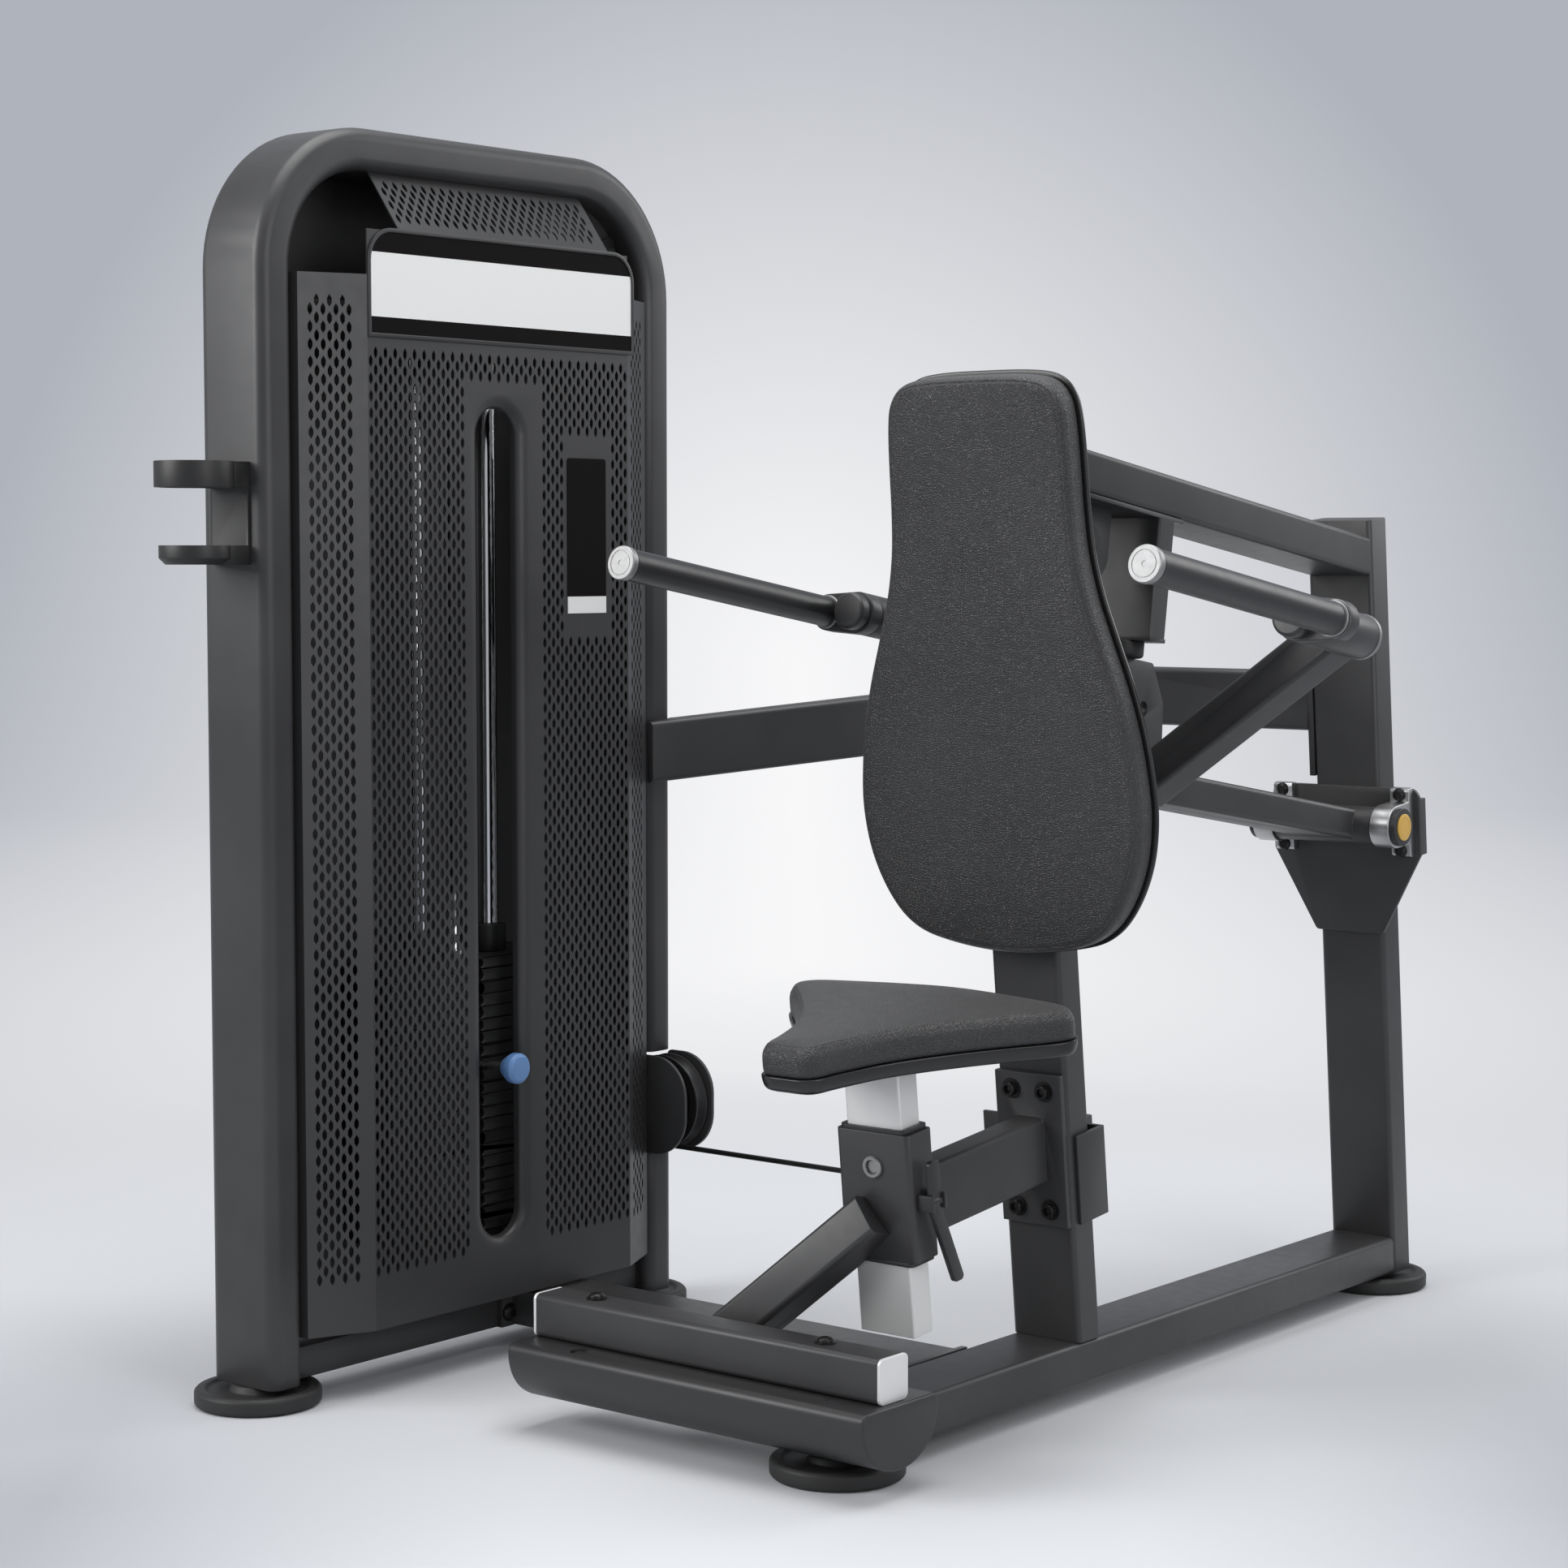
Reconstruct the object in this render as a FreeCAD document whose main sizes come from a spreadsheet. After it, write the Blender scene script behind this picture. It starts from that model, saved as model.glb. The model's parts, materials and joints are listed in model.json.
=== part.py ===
import FreeCAD, Part

import math
import os

import Sketcher

Vector = FreeCAD.Vector
Placement = FreeCAD.Placement
Rotation = FreeCAD.Rotation

# Seated dip machine. Millimetres and degrees. +Z is up, -Y is the foot end, +X is the side away
# from the weight tower. The origin is on the floor at the centre of the front foot.

SIZES = {
    # shared fits and overruns
    "overrun": 40.0,
    "seat_gap": 0.3,
    "run_fit": 0.06,
    # main frame tubes
    "frame_width": 95.0,
    "corner_round": 7.0,
    "foot_radius": 75.0,
    "foot_height": 25.0,
    "foot_boss": 30.0,
    "foot_dish": 8.0,
    "rail_height": 50.0,
    "rail_front": 20.0,
    "rear_foot_y": 1194.0,
    "column_y": 402.0,
    "column_depth": 46.0,
    "column_length": 1036.0,
    "lean_angle": 6.25,
    "upright_y": 1168.0,
    "upright_depth": 48.0,
    "upright_length": 976.0,
    "upright_lean": 5.37,
    "beam_y": 374.0,
    "beam_z": 1129.0,
    "beam_depth": 50.0,
    "beam_front": 110.0,
    "beam_rear": 760.0,
    "beam_tilt": 8.4,
    # tower
    "tower_x": 720.0,
    "tower_width": 110.0,
    "leg_depth": 50.0,
    "leg_front": 217.0,
    "leg_rear": 497.0,
    "tower_height": 1503.0,
    "tower_bend": 172.0,
    "tower_edge": 16.0,
    "tower_foot_front": 192.0,
    "tower_foot_rear": 472.0,
    "sill_width": 60.0,
    "sill_height": 38.0,
    "sill_lift": 25.0,
    "rod_bar_height": 10.0,
    "rod_bar_drop": 64.0,
    "sill_x": 720.0,
    "sheet_wall": 2.0,
    "shroud_fold_x": 662.0,
    "shroud_face_x": 628.0,
    "shroud_lip": 28.0,
    "cover_lip": 20.0,
    "shroud_edge_rear": 440.0,
    "panel_front": 87.0,
    "panel_rear": 368.0,
    "shroud_bottom": 80.0,
    "strip_drop": 176.0,
    "panel_drop": 123.0,
    "panel_round": 35.0,
    "slot_y": 133.0,
    "slot_width": 70.0,
    "bezel_width": 103.0,
    "bezel_bottom": 141.0,
    "bezel_drop": 307.0,
    "bezel_depth": 16.0,
    "hood_top_x": 680.0,
    "hood_front": 35.0,
    "hood_rear": 332.0,
    "hood_drop": 51.0,
    "rear_cover_x": 773.0,
    "cover_margin": 5.0,
    "placard_front": 82.0,
    "placard_rear": 374.0,
    "placard_drop": 125.0,
    "placard_height": 122.0,
    "label_front": 254.0,
    "label_rear": 325.0,
    "label_drop": 381.0,
    "label_height": 194.0,
    "label_wall": 1.0,
    # weight stack
    "stack_y": 140.0,
    "rod_spread": 126.0,
    "rod_radius": 12.5,
    "rod_clear": 1.0,
    "plate_depth": 94.0,
    "plate_width": 300.0,
    "plate_pitch": 15.7,
    "plate_gap": 0.5,
    "plate_count": 22.0,
    "lifted_count": 9.0,
    "plate_round": 14.0,
    "stack_bottom": 157.0,
    "cushion_height": 30.0,
    "cushion_radius": 26.0,
    "riser_radius": 19.0,
    "stem_radius": 9.0,
    "stem_hole": 11.0,
    "stem_height": 44.0,
    "collar_radius": 22.0,
    "collar_height": 34.0,
    "pin_radius": 5.0,
    "knob_radius": 19.0,
    "knob_length": 26.0,
    "knob_x": 604.0,
    # cable and pulleys
    "cable_radius": 3.5,
    "pulley_low": 57.0,
    "pulley_top": 45.0,
    "pulley_rim": 5.0,
    "pulley_width": 22.0,
    "pulley_bore": 8.0,
    "guide_y": 470.0,
    "low_pulley_z": 279.0,
    "top_pulley_drop": 139.0,
    "column_run": 83.0,
    "column_pulley_z": 196.0,
    "upper_pulley_z": 915.0,
    "bracket_wall": 5.0,
    "bracket_web": 9.0,
    "column_cheek_height": 107.0,
    "bracket_gap": 3.0,
    "clevis_z": 800.0,
    "clevis_pin": 6.0,
    "clevis_fork": 64.0,
    # arm
    "pivot_y": 1065.0,
    "pivot_z": 645.0,
    "arm_tilt": 9.1,
    "axle_radius": 12.0,
    "hub_radius": 25.0,
    "hub_length": 144.0,
    "block_gap": 2.0,
    "block_width": 28.0,
    "block_height": 92.0,
    "block_foot": 12.0,
    "block_nose": 28.0,
    "cap_radius": 25.0,
    "cap_length": 8.0,
    "arm_height": 40.0,
    "arm_length": 487.0,
    "yoke_size": 50.0,
    "yoke_set": 18.5,
    "yoke_drop": 23.6,
    "yoke_rise": 34.35,
    "yoke_sweep": 8.48,
    "yoke_foot": 25.0,
    "swivel_x": 310.0,
    "swivel_up": 182.0,
    "housing_radius": 26.0,
    "housing_set": 33.0,
    "housing_length": 128.0,
    "swivel_radius": 14.0,
    "crank_offset": 45.0,
    "crank_wall": 20.0,
    "crank_nose": 23.0,
    "swivel_cap": 19.0,
    "grip_radius": 19.0,
    "grip_core": 12.5,
    "grip_collar": 21.0,
    "collar_wall": 4.0,
    "grip_reach": 411.0,
    "grip_cap": 20.0,
    "grip_cap_wall": 9.0,
    "lug_wall": 12.0,
    # bumper hanger
    "hanger_start": 27.0,
    "hanger_plate": 225.0,
    "hanger_along": 217.6,
    "hanger_depth": 34.0,
    "hanger_drop": 152.0,
    "bumper_radius": 25.0,
    "bumper_height": 19.0,
    "cheek_wall": 5.0,
    # gusset plate
    "gusset_wall": 6.0,
    "gusset_half": 110.0,
    "gusset_neck": 50.0,
    "gusset_top": 621.0,
    "gusset_bottom": 422.0,
    "gusset_shoulder": 532.0,
    "gusset_fold": 13.0,
    # seat
    "post_front": 304.0,
    "post_width": 75.0,
    "post_depth": 36.0,
    "post_bottom": 97.0,
    "sleeve_width": 100.0,
    "sleeve_depth": 46.0,
    "sleeve_bottom": 185.0,
    "sleeve_height": 145.0,
    "liner_wall": 1.7,
    "liner_lip": 5.0,
    "seat_bar_width": 40.0,
    "seat_bar_height": 80.0,
    "seat_bar_z": 193.0,
    "column_plate_half": 46.0,
    "column_plate_bottom": 142.0,
    "column_plate_height": 183.0,
    "column_plate_wall": 8.0,
    "pan_bottom": 406.7,
    "pan_height": 18.0,
    "pad_height": 35.0,
    "seat_front": 441.0,
    "seat_rear": 141.0,
    "seat_half": 185.0,
    "lever_width": 18.0,
    "lever_wall": 14.0,
    "lever_z": 253.0,
    "lever_up": 46.0,
    "lever_down": 99.0,
    "lever_pin": 2.5,
    "brace_size": 50.0,
    # back pad
    "back_bottom": 478.6,
    "back_top": 1131.4,
    "back_half": 190.0,
    "back_pad_wall": 34.0,
    "back_shell_wall": 11.0,
    "shell_margin": 8.0,
    # foot rest
    "housing_left": 400.0,
    "housing_right": 112.0,
    "housing_front": 101.0,
    "housing_back": 33.0,
    "housing_top": 104.0,
    "housing_bottom": 32.0,
    "rest_left": 397.0,
    "rest_right": 103.0,
    "rest_size": 50.0,
    "rest_back": 10.0,
    "end_plate": 4.0,
    "panel_left": 318.0,
    "panel_right": 45.0,
    "panel_depth": 30.0,
    "panel_set": 7.0,
    "panel_sink": 2.0,
    # cross tube, rear tie
    "cross_y": 251.0,
    "cross_plate": 114.0,
    "cross_far_plate": 134.0,
    "cross_wall": 8.0,
    "tie_height": 80.0,
    "tie_width": 40.0,
    "tie_side_y": 474.0,
    "tie_side_z": 745.0,
    "tie_corner_x": 360.0,
    "tie_corner_z": 805.0,
    "tie_face_y": 1100.0,
    "tie_plate_height": 136.0,
    # cup holder
    "cup_y": 273.0,
    "cup_radius": 45.5,
    "cup_wall": 4.0,
    "cup_ring_bottom": 1078.0,
    "cup_ring_height": 30.0,
    "cup_tray_radius": 41.0,
    "cup_tray_bottom": 990.0,
    "cup_tray_height": 22.0,
    "cup_plate_width": 64.0,
    # fasteners
    "bolt_head": 9.0,
    "bolt_height": 6.0,
}

# Shares of a neighbouring size.
SHARES = {
    "full_round_share": 0.999,
    "foot_edge_share": 0.05,
    "foot_rim_share": 0.84,
    "foot_ear_share": 0.45,
    "knob_neck_share": 0.6,
    "guard_inner_share": 0.2,
    "guard_round_share": 0.8,
    "cheek_reach_share": 1.3,
    "cheek_foot_share": 0.4,
    "cheek_drop_share": 1.1,
    "cheek_round_share": 0.5,
    "cheek_room_share": 1.35,
    "cheek_hole_share": 0.48,
    "lug_run_share": 2.4,
    "lug_heel_share": 2.6,
    "lug_rise_share": 0.7,
    "lug_nose_share": 1.6,
    "lug_boss_share": 0.9,
    "lug_round_share": 0.8,
    "lug_hole_share": 0.62,
    "fork_round_share": 0.9,
    "fork_bridge_share": 0.6,
    "ear_share": 1.5,
    "ring_outer_share": 0.9,
    "ring_crown_share": 0.8,
    "ring_height_share": 0.73,
    "lever_round_share": 0.3,
    "lever_tip_share": 1.4,
    "lever_heel_share": 2.4,
    "lever_boss_share": 2.2,
    "brace_foot_share": 0.57,
    "brace_back_share": 0.7,
    "seat_side_share": 0.28,
    "seat_edge_share": 0.35,
    "back_side_share": 0.25,
    "back_edge_share": 0.4,
    "seam_low_share": 0.6,
    "seam_high_share": 0.5,
    "seat_crown_share": 0.9,
    "back_seam_share": 0.4,
    "back_rise_share": 0.3,
    "back_crown_share": 0.7,
    "cover_side_share": 0.35,
    "cover_round_share": 0.2,
    "cover_foot_share": 0.22,
    "cover_groove_share": 0.06,
    "bolt_crown_share": 0.92,
    "bolt_shoulder_share": 0.5,
    "bolt_top_share": 0.6,
    "bolt_rise_share": 0.9,
    "rest_bolt_left_share": 0.81,
    "rest_bolt_right_share": 0.1,
    "plate_bolt_low_share": 0.11,
    "plate_bolt_high_share": 0.89,
    "bolt_margin_share": 1.1,
}

PAD_LENGTH_SHARES = (0.0, 0.035, 0.14, 0.248, 0.322, 0.47, 0.61, 0.75, 0.88, 0.97, 1.0)
PAD_WIDTH_SHARES = (0.64, 0.72, 0.86, 0.968, 1.0, 0.985, 0.885, 0.735, 0.642, 0.63, 0.5)
SEAT_LENGTH_SHARES = (0.0, 0.06, 0.19, 0.357, 0.552, 0.706, 0.843, 0.893, 0.927, 1.0)
SEAT_WIDTH_SHARES = (0.2, 0.23, 0.25, 0.368, 0.595, 0.822, 1.0, 0.946, 0.811, 0.46)

doc = FreeCAD.newDocument("DipMachine")
sheet = doc.addObject("Spreadsheet::Sheet", "Sizes")


class Size(float):
    """A number that also keeps the sheet expression that it comes from."""

    def __new__(cls, value, text):
        number = float.__new__(cls, value)
        number.text = text
        return number

    def join(self, sign, other, value, swap=False):
        mine, theirs = self.text, other.text if isinstance(other, Size) else repr(float(other))
        first, second = (theirs, mine) if swap else (mine, theirs)
        return Size(value, "(%s %s %s)" % (first, sign, second))

    def __add__(self, other):
        return self.join("+", other, float(self) + float(other))

    def __radd__(self, other):
        return self.join("+", other, float(self) + float(other), True)

    def __sub__(self, other):
        return self.join("-", other, float(self) - float(other))

    def __rsub__(self, other):
        return self.join("-", other, float(other) - float(self), True)

    def __mul__(self, other):
        return self.join("*", other, float(self) * float(other))

    def __rmul__(self, other):
        return self.join("*", other, float(self) * float(other), True)

    def __truediv__(self, other):
        return self.join("/", other, float(self) / float(other))

    def __neg__(self):
        return Size(-float(self), "(0 - %s)" % self.text)


class Sizes:
    """The sheet's sizes by name."""


for row, (alias, value) in enumerate({**SIZES, **SHARES}.items(), 1):
    sheet.set("A%d" % row, alias)
    sheet.set("B%d" % row, str(value))
    sheet.setAlias("B%d" % row, alias)
    setattr(Sizes, alias, Size(value, "Sizes." + alias))
doc.recompute()
S = Sizes

# Heights that keep their place under the tower's top, and places that keep theirs on the arm.
S.strip_top = S.tower_height - S.strip_drop
S.panel_top = S.tower_height - S.panel_drop
S.bezel_top = S.tower_height - S.bezel_drop
S.hood_top_z = S.tower_height - S.hood_drop
S.placard_top = S.tower_height - S.placard_drop
S.label_top = S.tower_height - S.label_drop
S.top_pulley_z = S.tower_height - S.top_pulley_drop
S.yoke_y = S.arm_length + S.yoke_set
S.housing_start = S.arm_length + S.housing_set
S.housing_end = S.housing_start + S.housing_length
S.grip_end = S.housing_end + S.grip_reach

X_AXIS = Vector(1, 0, 0)
Y_AXIS = Vector(0, 1, 0)
Z_AXIS = Vector(0, 0, 1)
UPRIGHT_TURN = Rotation()
ALONG_Y = Rotation(X_AXIS, -90)      # section x stays, section y goes down, length goes to +Y
FACING_FRONT = Rotation(X_AXIS, 90)  # section x stays, section y goes up, thickness goes to -Y
FACING_SIDE = Rotation(Vector(1, 1, 1), 120)  # section x to +Y, section y up, thickness to +X


def at(x, y, z, turn=UPRIGHT_TURN):
    return Placement(Vector(x, y, z), turn)


RAIL_TOP = S.foot_height + S.rail_height
LEAN = at(0, S.column_y, RAIL_TOP, Rotation(X_AXIS, S.lean_angle))
BACK = at(0, S.upright_y, RAIL_TOP, Rotation(X_AXIS, S.upright_lean))
BEAM = at(0, S.beam_y, S.beam_z, Rotation(X_AXIS, -S.beam_tilt))
ARM = at(0, S.pivot_y, S.pivot_z, Rotation(X_AXIS, -S.arm_tilt))

TOUCH = 1e-3
nodes = {}


def keep(label, part):
    part.Label = label
    nodes[label] = part
    return part


def bind(part, name, size):
    if isinstance(size, Size):
        part.setExpression(name, size.text)
    else:
        setattr(part, name, float(size))


def hold(sketch, geometry, position, point):
    """Fix one point of a sketch to its two sizes."""
    for kind, value in (("DistanceX", point[0]), ("DistanceY", point[1])):
        index = sketch.addConstraint(Sketcher.Constraint(kind, -1, 1, geometry, position, float(value)))
        if isinstance(value, Size):
            sketch.setExpression("Constraints[%d]" % index, value.text)


def corner_cut(before, here, after, radius):
    """Where a rounded corner starts and ends, and the centre of its arc."""
    first = (float(before[0] - here[0]), float(before[1] - here[1]))
    last = (float(after[0] - here[0]), float(after[1] - here[1]))
    first_length = math.hypot(*first)
    last_length = math.hypot(*last)
    first = (first[0] / first_length, first[1] / first_length)
    last = (last[0] / last_length, last[1] / last_length)
    half = math.acos(max(-1.0, min(1.0, first[0] * last[0] + first[1] * last[1]))) / 2
    cut = radius * (1 / math.tan(half))
    start = (here[0] + cut * first[0], here[1] + cut * first[1])
    end = (here[0] + cut * last[0], here[1] + cut * last[1])
    middle = (first[0] + last[0], first[1] + last[1])
    spread = float(radius) / math.sin(half) / math.hypot(*middle)
    centre = (float(here[0]) + middle[0] * spread, float(here[1]) + middle[1] * spread)
    turns_left = first[0] * last[1] - first[1] * last[0] < 0
    return start, end, centre, turns_left


def trace(sketch, outline):
    """Draw a closed outline of (x, y) or (x, y, corner radius) points."""
    count = len(outline)
    corners = []
    for index, here in enumerate(outline):
        if len(here) > 2:
            before, after = outline[index - 1], outline[(index + 1) % count]
            corners.append(corner_cut(before, here, after, here[2]))
        else:
            corners.append((here, here, None, True))
    pieces = []
    for index in range(count):
        start, end, centre, turns_left = corners[index]
        if centre is not None:
            radius = math.hypot(float(start[0]) - centre[0], float(start[1]) - centre[1])
            first = math.atan2(float(start[1]) - centre[1], float(start[0]) - centre[0])
            last = math.atan2(float(end[1]) - centre[1], float(end[0]) - centre[0])
            circle = Part.Circle(Vector(centre[0], centre[1], 0), Z_AXIS, radius)
            angles = (first, last) if turns_left else (last, first)
            arc = sketch.addGeometry(Part.ArcOfCircle(circle, *angles))
            pieces.append((arc, 1, 2) if turns_left else (arc, 2, 1))
        follow = corners[(index + 1) % count][0]
        if math.hypot(float(follow[0] - end[0]), float(follow[1] - end[1])) > 1e-6:
            a = Vector(float(end[0]), float(end[1]), 0)
            b = Vector(float(follow[0]), float(follow[1]), 0)
            line = sketch.addGeometry(Part.LineSegment(a, b))
            hold(sketch, line, 1, end)
            hold(sketch, line, 2, follow)
            pieces.append((line, 1, 2, "line"))
    for index, piece in enumerate(pieces):
        before = pieces[index - 1]
        if len(piece) == 4 and len(before) == 4:
            continue
        if len(piece) == 3 and len(before) == 4:
            sketch.addConstraint(Sketcher.Constraint("Tangent", before[0], before[2], piece[0], piece[1]))
        else:
            sketch.addConstraint(Sketcher.Constraint("Coincident", before[0], before[2], piece[0], piece[1]))


def drill(sketch, holes):
    for x, y, radius in holes:
        circle = Part.Circle(Vector(float(x), float(y), 0), Z_AXIS, float(radius))
        geometry = sketch.addGeometry(circle)
        index = sketch.addConstraint(Sketcher.Constraint("Radius", geometry, float(radius)))
        if isinstance(radius, Size):
            sketch.setExpression("Constraints[%d]" % index, radius.text)
        hold(sketch, geometry, 3, (x, y))


def new_sketch(body, name, role):
    sketch = body.newObject("Sketcher::SketchObject", name + "_sketch")
    plane = [item for item in body.Origin.OriginFeatures if item.Role == role][0]
    sketch.AttachmentSupport = [(plane, "")]
    sketch.MapMode = "FlatFace"
    return sketch


def prism(name, outline, length, place, holes=(), inner=None):
    """A bar or plate: an outline with its holes, padded along the local Z axis."""
    body = doc.addObject("PartDesign::Body", name)
    sketch = new_sketch(body, name, "XY_Plane")
    trace(sketch, outline)
    if inner:
        trace(sketch, inner)
    drill(sketch, holes)
    pad = body.newObject("PartDesign::Pad", name + "_pad")
    pad.Profile = sketch
    bind(pad, "Length", length)
    sketch.Visibility = False
    body.Placement = place
    return body


def turned(name, profile, place):
    """A turned piece: a half section of (radius, height) points, revolved about local Z."""
    body = doc.addObject("PartDesign::Body", name)
    sketch = new_sketch(body, name, "XZ_Plane")
    trace(sketch, profile)
    turn = body.newObject("PartDesign::Revolution", name + "_turn")
    turn.Profile = sketch
    turn.ReferenceAxis = (sketch, ["V_Axis"])
    turn.Angle = 360
    sketch.Visibility = False
    body.Placement = place
    return body


def oblong(half_x, low_y, high_y, radius=None):
    """A rectangle centred on x, with its corners rounded."""
    points = [(-half_x, low_y), (half_x, low_y), (half_x, high_y), (-half_x, high_y)]
    return [point + (radius,) for point in points] if radius else points


def box(name, length, width, height, place):
    block = doc.addObject("Part::Box", name)
    bind(block, "Length", length)
    bind(block, "Width", width)
    bind(block, "Height", height)
    block.Placement = place
    return block


def cylinder(name, radius, height, place):
    rod = doc.addObject("Part::Cylinder", name)
    bind(rod, "Radius", radius)
    bind(rod, "Height", height)
    rod.Placement = place
    return rod


def fuse(name, parts):
    joined = doc.addObject("Part::MultiFuse", name)
    joined.Shapes = parts
    joined.Refine = True
    return joined


def cut(name, base, tools):
    for index, tool in enumerate(tools):
        result = doc.addObject("Part::Cut", "%s_%d" % (name, index))
        result.Base = base
        result.Tool = tool
        result.Refine = True
        base = result
    return base


def group(name, parts):
    """Several separate solids in one node."""
    compound = doc.addObject("Part::Compound", name)
    compound.Links = parts
    return compound


def repeat(name, master, places):
    """The same small piece at several places."""
    doc.recompute()
    feature = doc.addObject("Part::Feature", name)
    shapes = []
    for place in places:
        shape = master.Shape.copy()
        shape.Placement = place.multiply(shape.Placement)
        shapes.append(shape)
    feature.Shape = Part.makeCompound(shapes)
    return feature


def formed(name, shape, place):
    """A soft form lofted in its own frame."""
    feature = doc.addObject("Part::Feature", name)
    feature.Shape = shape
    feature.Placement = place
    return feature


def slab_below(name, height):
    """A trimming block with its top face at a given height."""
    reach = S.tower_height
    return box(name, reach * 2, reach * 2, S.overrun * 2, at(-reach, -reach, height - S.overrun * 2))



def foot_disc():
    edge = S.foot_radius * S.foot_edge_share
    rim = S.foot_radius * S.foot_rim_share
    points = [
        (0, 0), (S.foot_radius - edge, 0), (S.foot_radius, edge),
        (S.foot_radius, S.foot_height - edge * 2), (S.foot_radius - edge, S.foot_height - edge),
        (rim, S.foot_height - edge), (rim - edge, S.foot_height - S.foot_dish),
        (S.foot_boss + edge, S.foot_height - S.foot_dish), (S.foot_boss, S.foot_height), (0, S.foot_height),
    ]
    master = turned("foot_master", points, at(0, 0, 0))
    places = [
        at(0, 0, 0), at(0, S.rear_foot_y, 0),
        at(-S.tower_x, -S.tower_foot_front, 0), at(-S.tower_x, S.tower_foot_rear, 0),
    ]
    keep("feet", repeat("feet", master, places))


def frame_section(depth):
    return oblong(S.frame_width / 2, 0, depth, S.corner_round)


def upright_side():
    """A trimming block that fills everything behind the front face of the rear upright."""
    reach = S.upright_length
    place = BACK.multiply(at(-reach, 0, -S.overrun * 2))
    return box("upright_side", reach * 2, reach, reach * 2, place)


def main_frame():
    behind_upright = upright_side()
    floor_line = slab_below("floor_line", S.foot_height)
    rail_line = slab_below("rail_line", RAIL_TOP)

    rail_length = S.upright_y + S.rail_front + S.overrun
    rail = prism("rail_tube", frame_section(S.rail_height), rail_length, at(0, -S.rail_front, RAIL_TOP, ALONG_Y))
    keep("base_rail", cut("base_rail", rail, [behind_upright]))

    drop = RAIL_TOP + S.overrun
    upright = prism(
        "upright_tube", frame_section(S.upright_depth), S.upright_length + drop,
        BACK.multiply(at(0, 0, -drop)))
    keep("rear_upright", cut("rear_upright", upright, [floor_line]))

    front_trim = box(
        "front_trim", S.frame_width * 2, S.frame_width * 2, S.frame_width * 3,
        LEAN.multiply(at(-S.frame_width, -S.frame_width * 2, S.column_length - S.frame_width * 2)))
    beam = prism(
        "beam_tube", frame_section(S.beam_depth), S.beam_front + S.beam_rear,
        BEAM.multiply(at(0, -S.beam_front, 0, ALONG_Y)))
    beam = keep("upper_beam", cut("upper_beam", beam, [front_trim, behind_upright]))

    column = prism(
        "column_tube", frame_section(S.column_depth), S.column_length + S.overrun,
        LEAN.multiply(at(0, 0, -S.overrun)))
    under_beam = box(
        "under_beam", S.frame_width * 2, S.beam_front + S.beam_rear, S.frame_width * 2,
        BEAM.multiply(at(-S.frame_width, -S.beam_front - S.overrun, -S.beam_depth)))
    keep("seat_column", cut("seat_column", column, [rail_line, under_beam]))


def gusset():
    """The plate on the rear upright that carries the arm's two bearing blocks."""
    outline = [
        (-S.gusset_half, S.gusset_top, S.corner_round * 2), (-S.gusset_half, S.gusset_shoulder),
        (-S.gusset_neck, S.gusset_bottom, S.corner_round), (S.gusset_neck, S.gusset_bottom, S.corner_round),
        (S.gusset_half, S.gusset_shoulder), (S.gusset_half, S.gusset_top, S.corner_round * 2),
    ]
    face = BACK.multiply(at(0, 0, 0, FACING_FRONT))
    plate = prism("gusset_face", outline, S.gusset_wall, face)
    height = S.gusset_top - S.gusset_shoulder - S.corner_round * 2
    flanges = []
    for name, x in (("left", -S.gusset_half), ("right", S.gusset_half - S.gusset_wall)):
        place = BACK.multiply(at(x, -S.gusset_wall, S.gusset_shoulder))
        flanges.append(box("gusset_" + name, S.gusset_wall, S.gusset_wall + S.gusset_fold, height, place))
    keep("gusset_plate", fuse("gusset_plate", [plate] + flanges))


def pivot_local():
    """The arm's axle in the rear upright's frame."""
    return BACK.inverse().multVec(Vector(0, S.pivot_y, S.pivot_z))


def bearing_blocks():
    centre = pivot_local()
    base = -(centre.y + S.gusset_wall)
    nose = S.block_nose
    half = S.block_height / 2
    round_nose = nose * S.full_round_share
    round_foot = S.block_foot * S.foot_ear_share
    outline = [
        (base, half), (base - S.block_foot, half, round_foot), (base - S.block_foot, nose),
        (-nose, nose, round_nose), (-nose, -nose, round_nose), (base - S.block_foot, -nose),
        (base - S.block_foot, -half, round_foot), (base, -half),
    ]
    holes = [(0, 0, S.axle_radius)]
    blocks = []
    inner = S.hub_length / 2 + S.block_gap
    for name, x in (("left", -inner - S.block_width), ("right", inner)):
        place = BACK.multiply(at(x, centre.y, centre.z, FACING_SIDE))
        blocks.append(prism("block_" + name, outline, S.block_width, place, holes))
    keep("pillow_blocks", group("pillow_blocks", blocks))
    reach = inner + S.block_width
    points = [
        (0, 0), (S.cap_radius, 0), (S.cap_radius, S.cap_length), (S.axle_radius, S.cap_length),
        (S.axle_radius, reach * 2 + S.cap_length), (S.cap_radius, reach * 2 + S.cap_length),
        (S.cap_radius, reach * 2 + S.cap_length * 2), (0, reach * 2 + S.cap_length * 2),
    ]
    place = at(-reach - S.cap_length, S.pivot_y, S.pivot_z, FACING_SIDE)
    keep("pivot_axle", turned("pivot_axle", points, place))



def rounded(body, radius, chosen):
    """Rounds those edges of a prism whose boxes, in its own frame, are chosen."""
    doc.recompute()
    pad = body.Tip
    names = []
    for index, edge in enumerate(pad.Shape.Edges, 1):
        if chosen(edge.BoundBox):
            names.append("Edge%d" % index)
    rounding = body.newObject("PartDesign::Fillet", body.Name + "_rounding")
    rounding.Base = (pad, names)
    bind(rounding, "Radius", radius)


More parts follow.
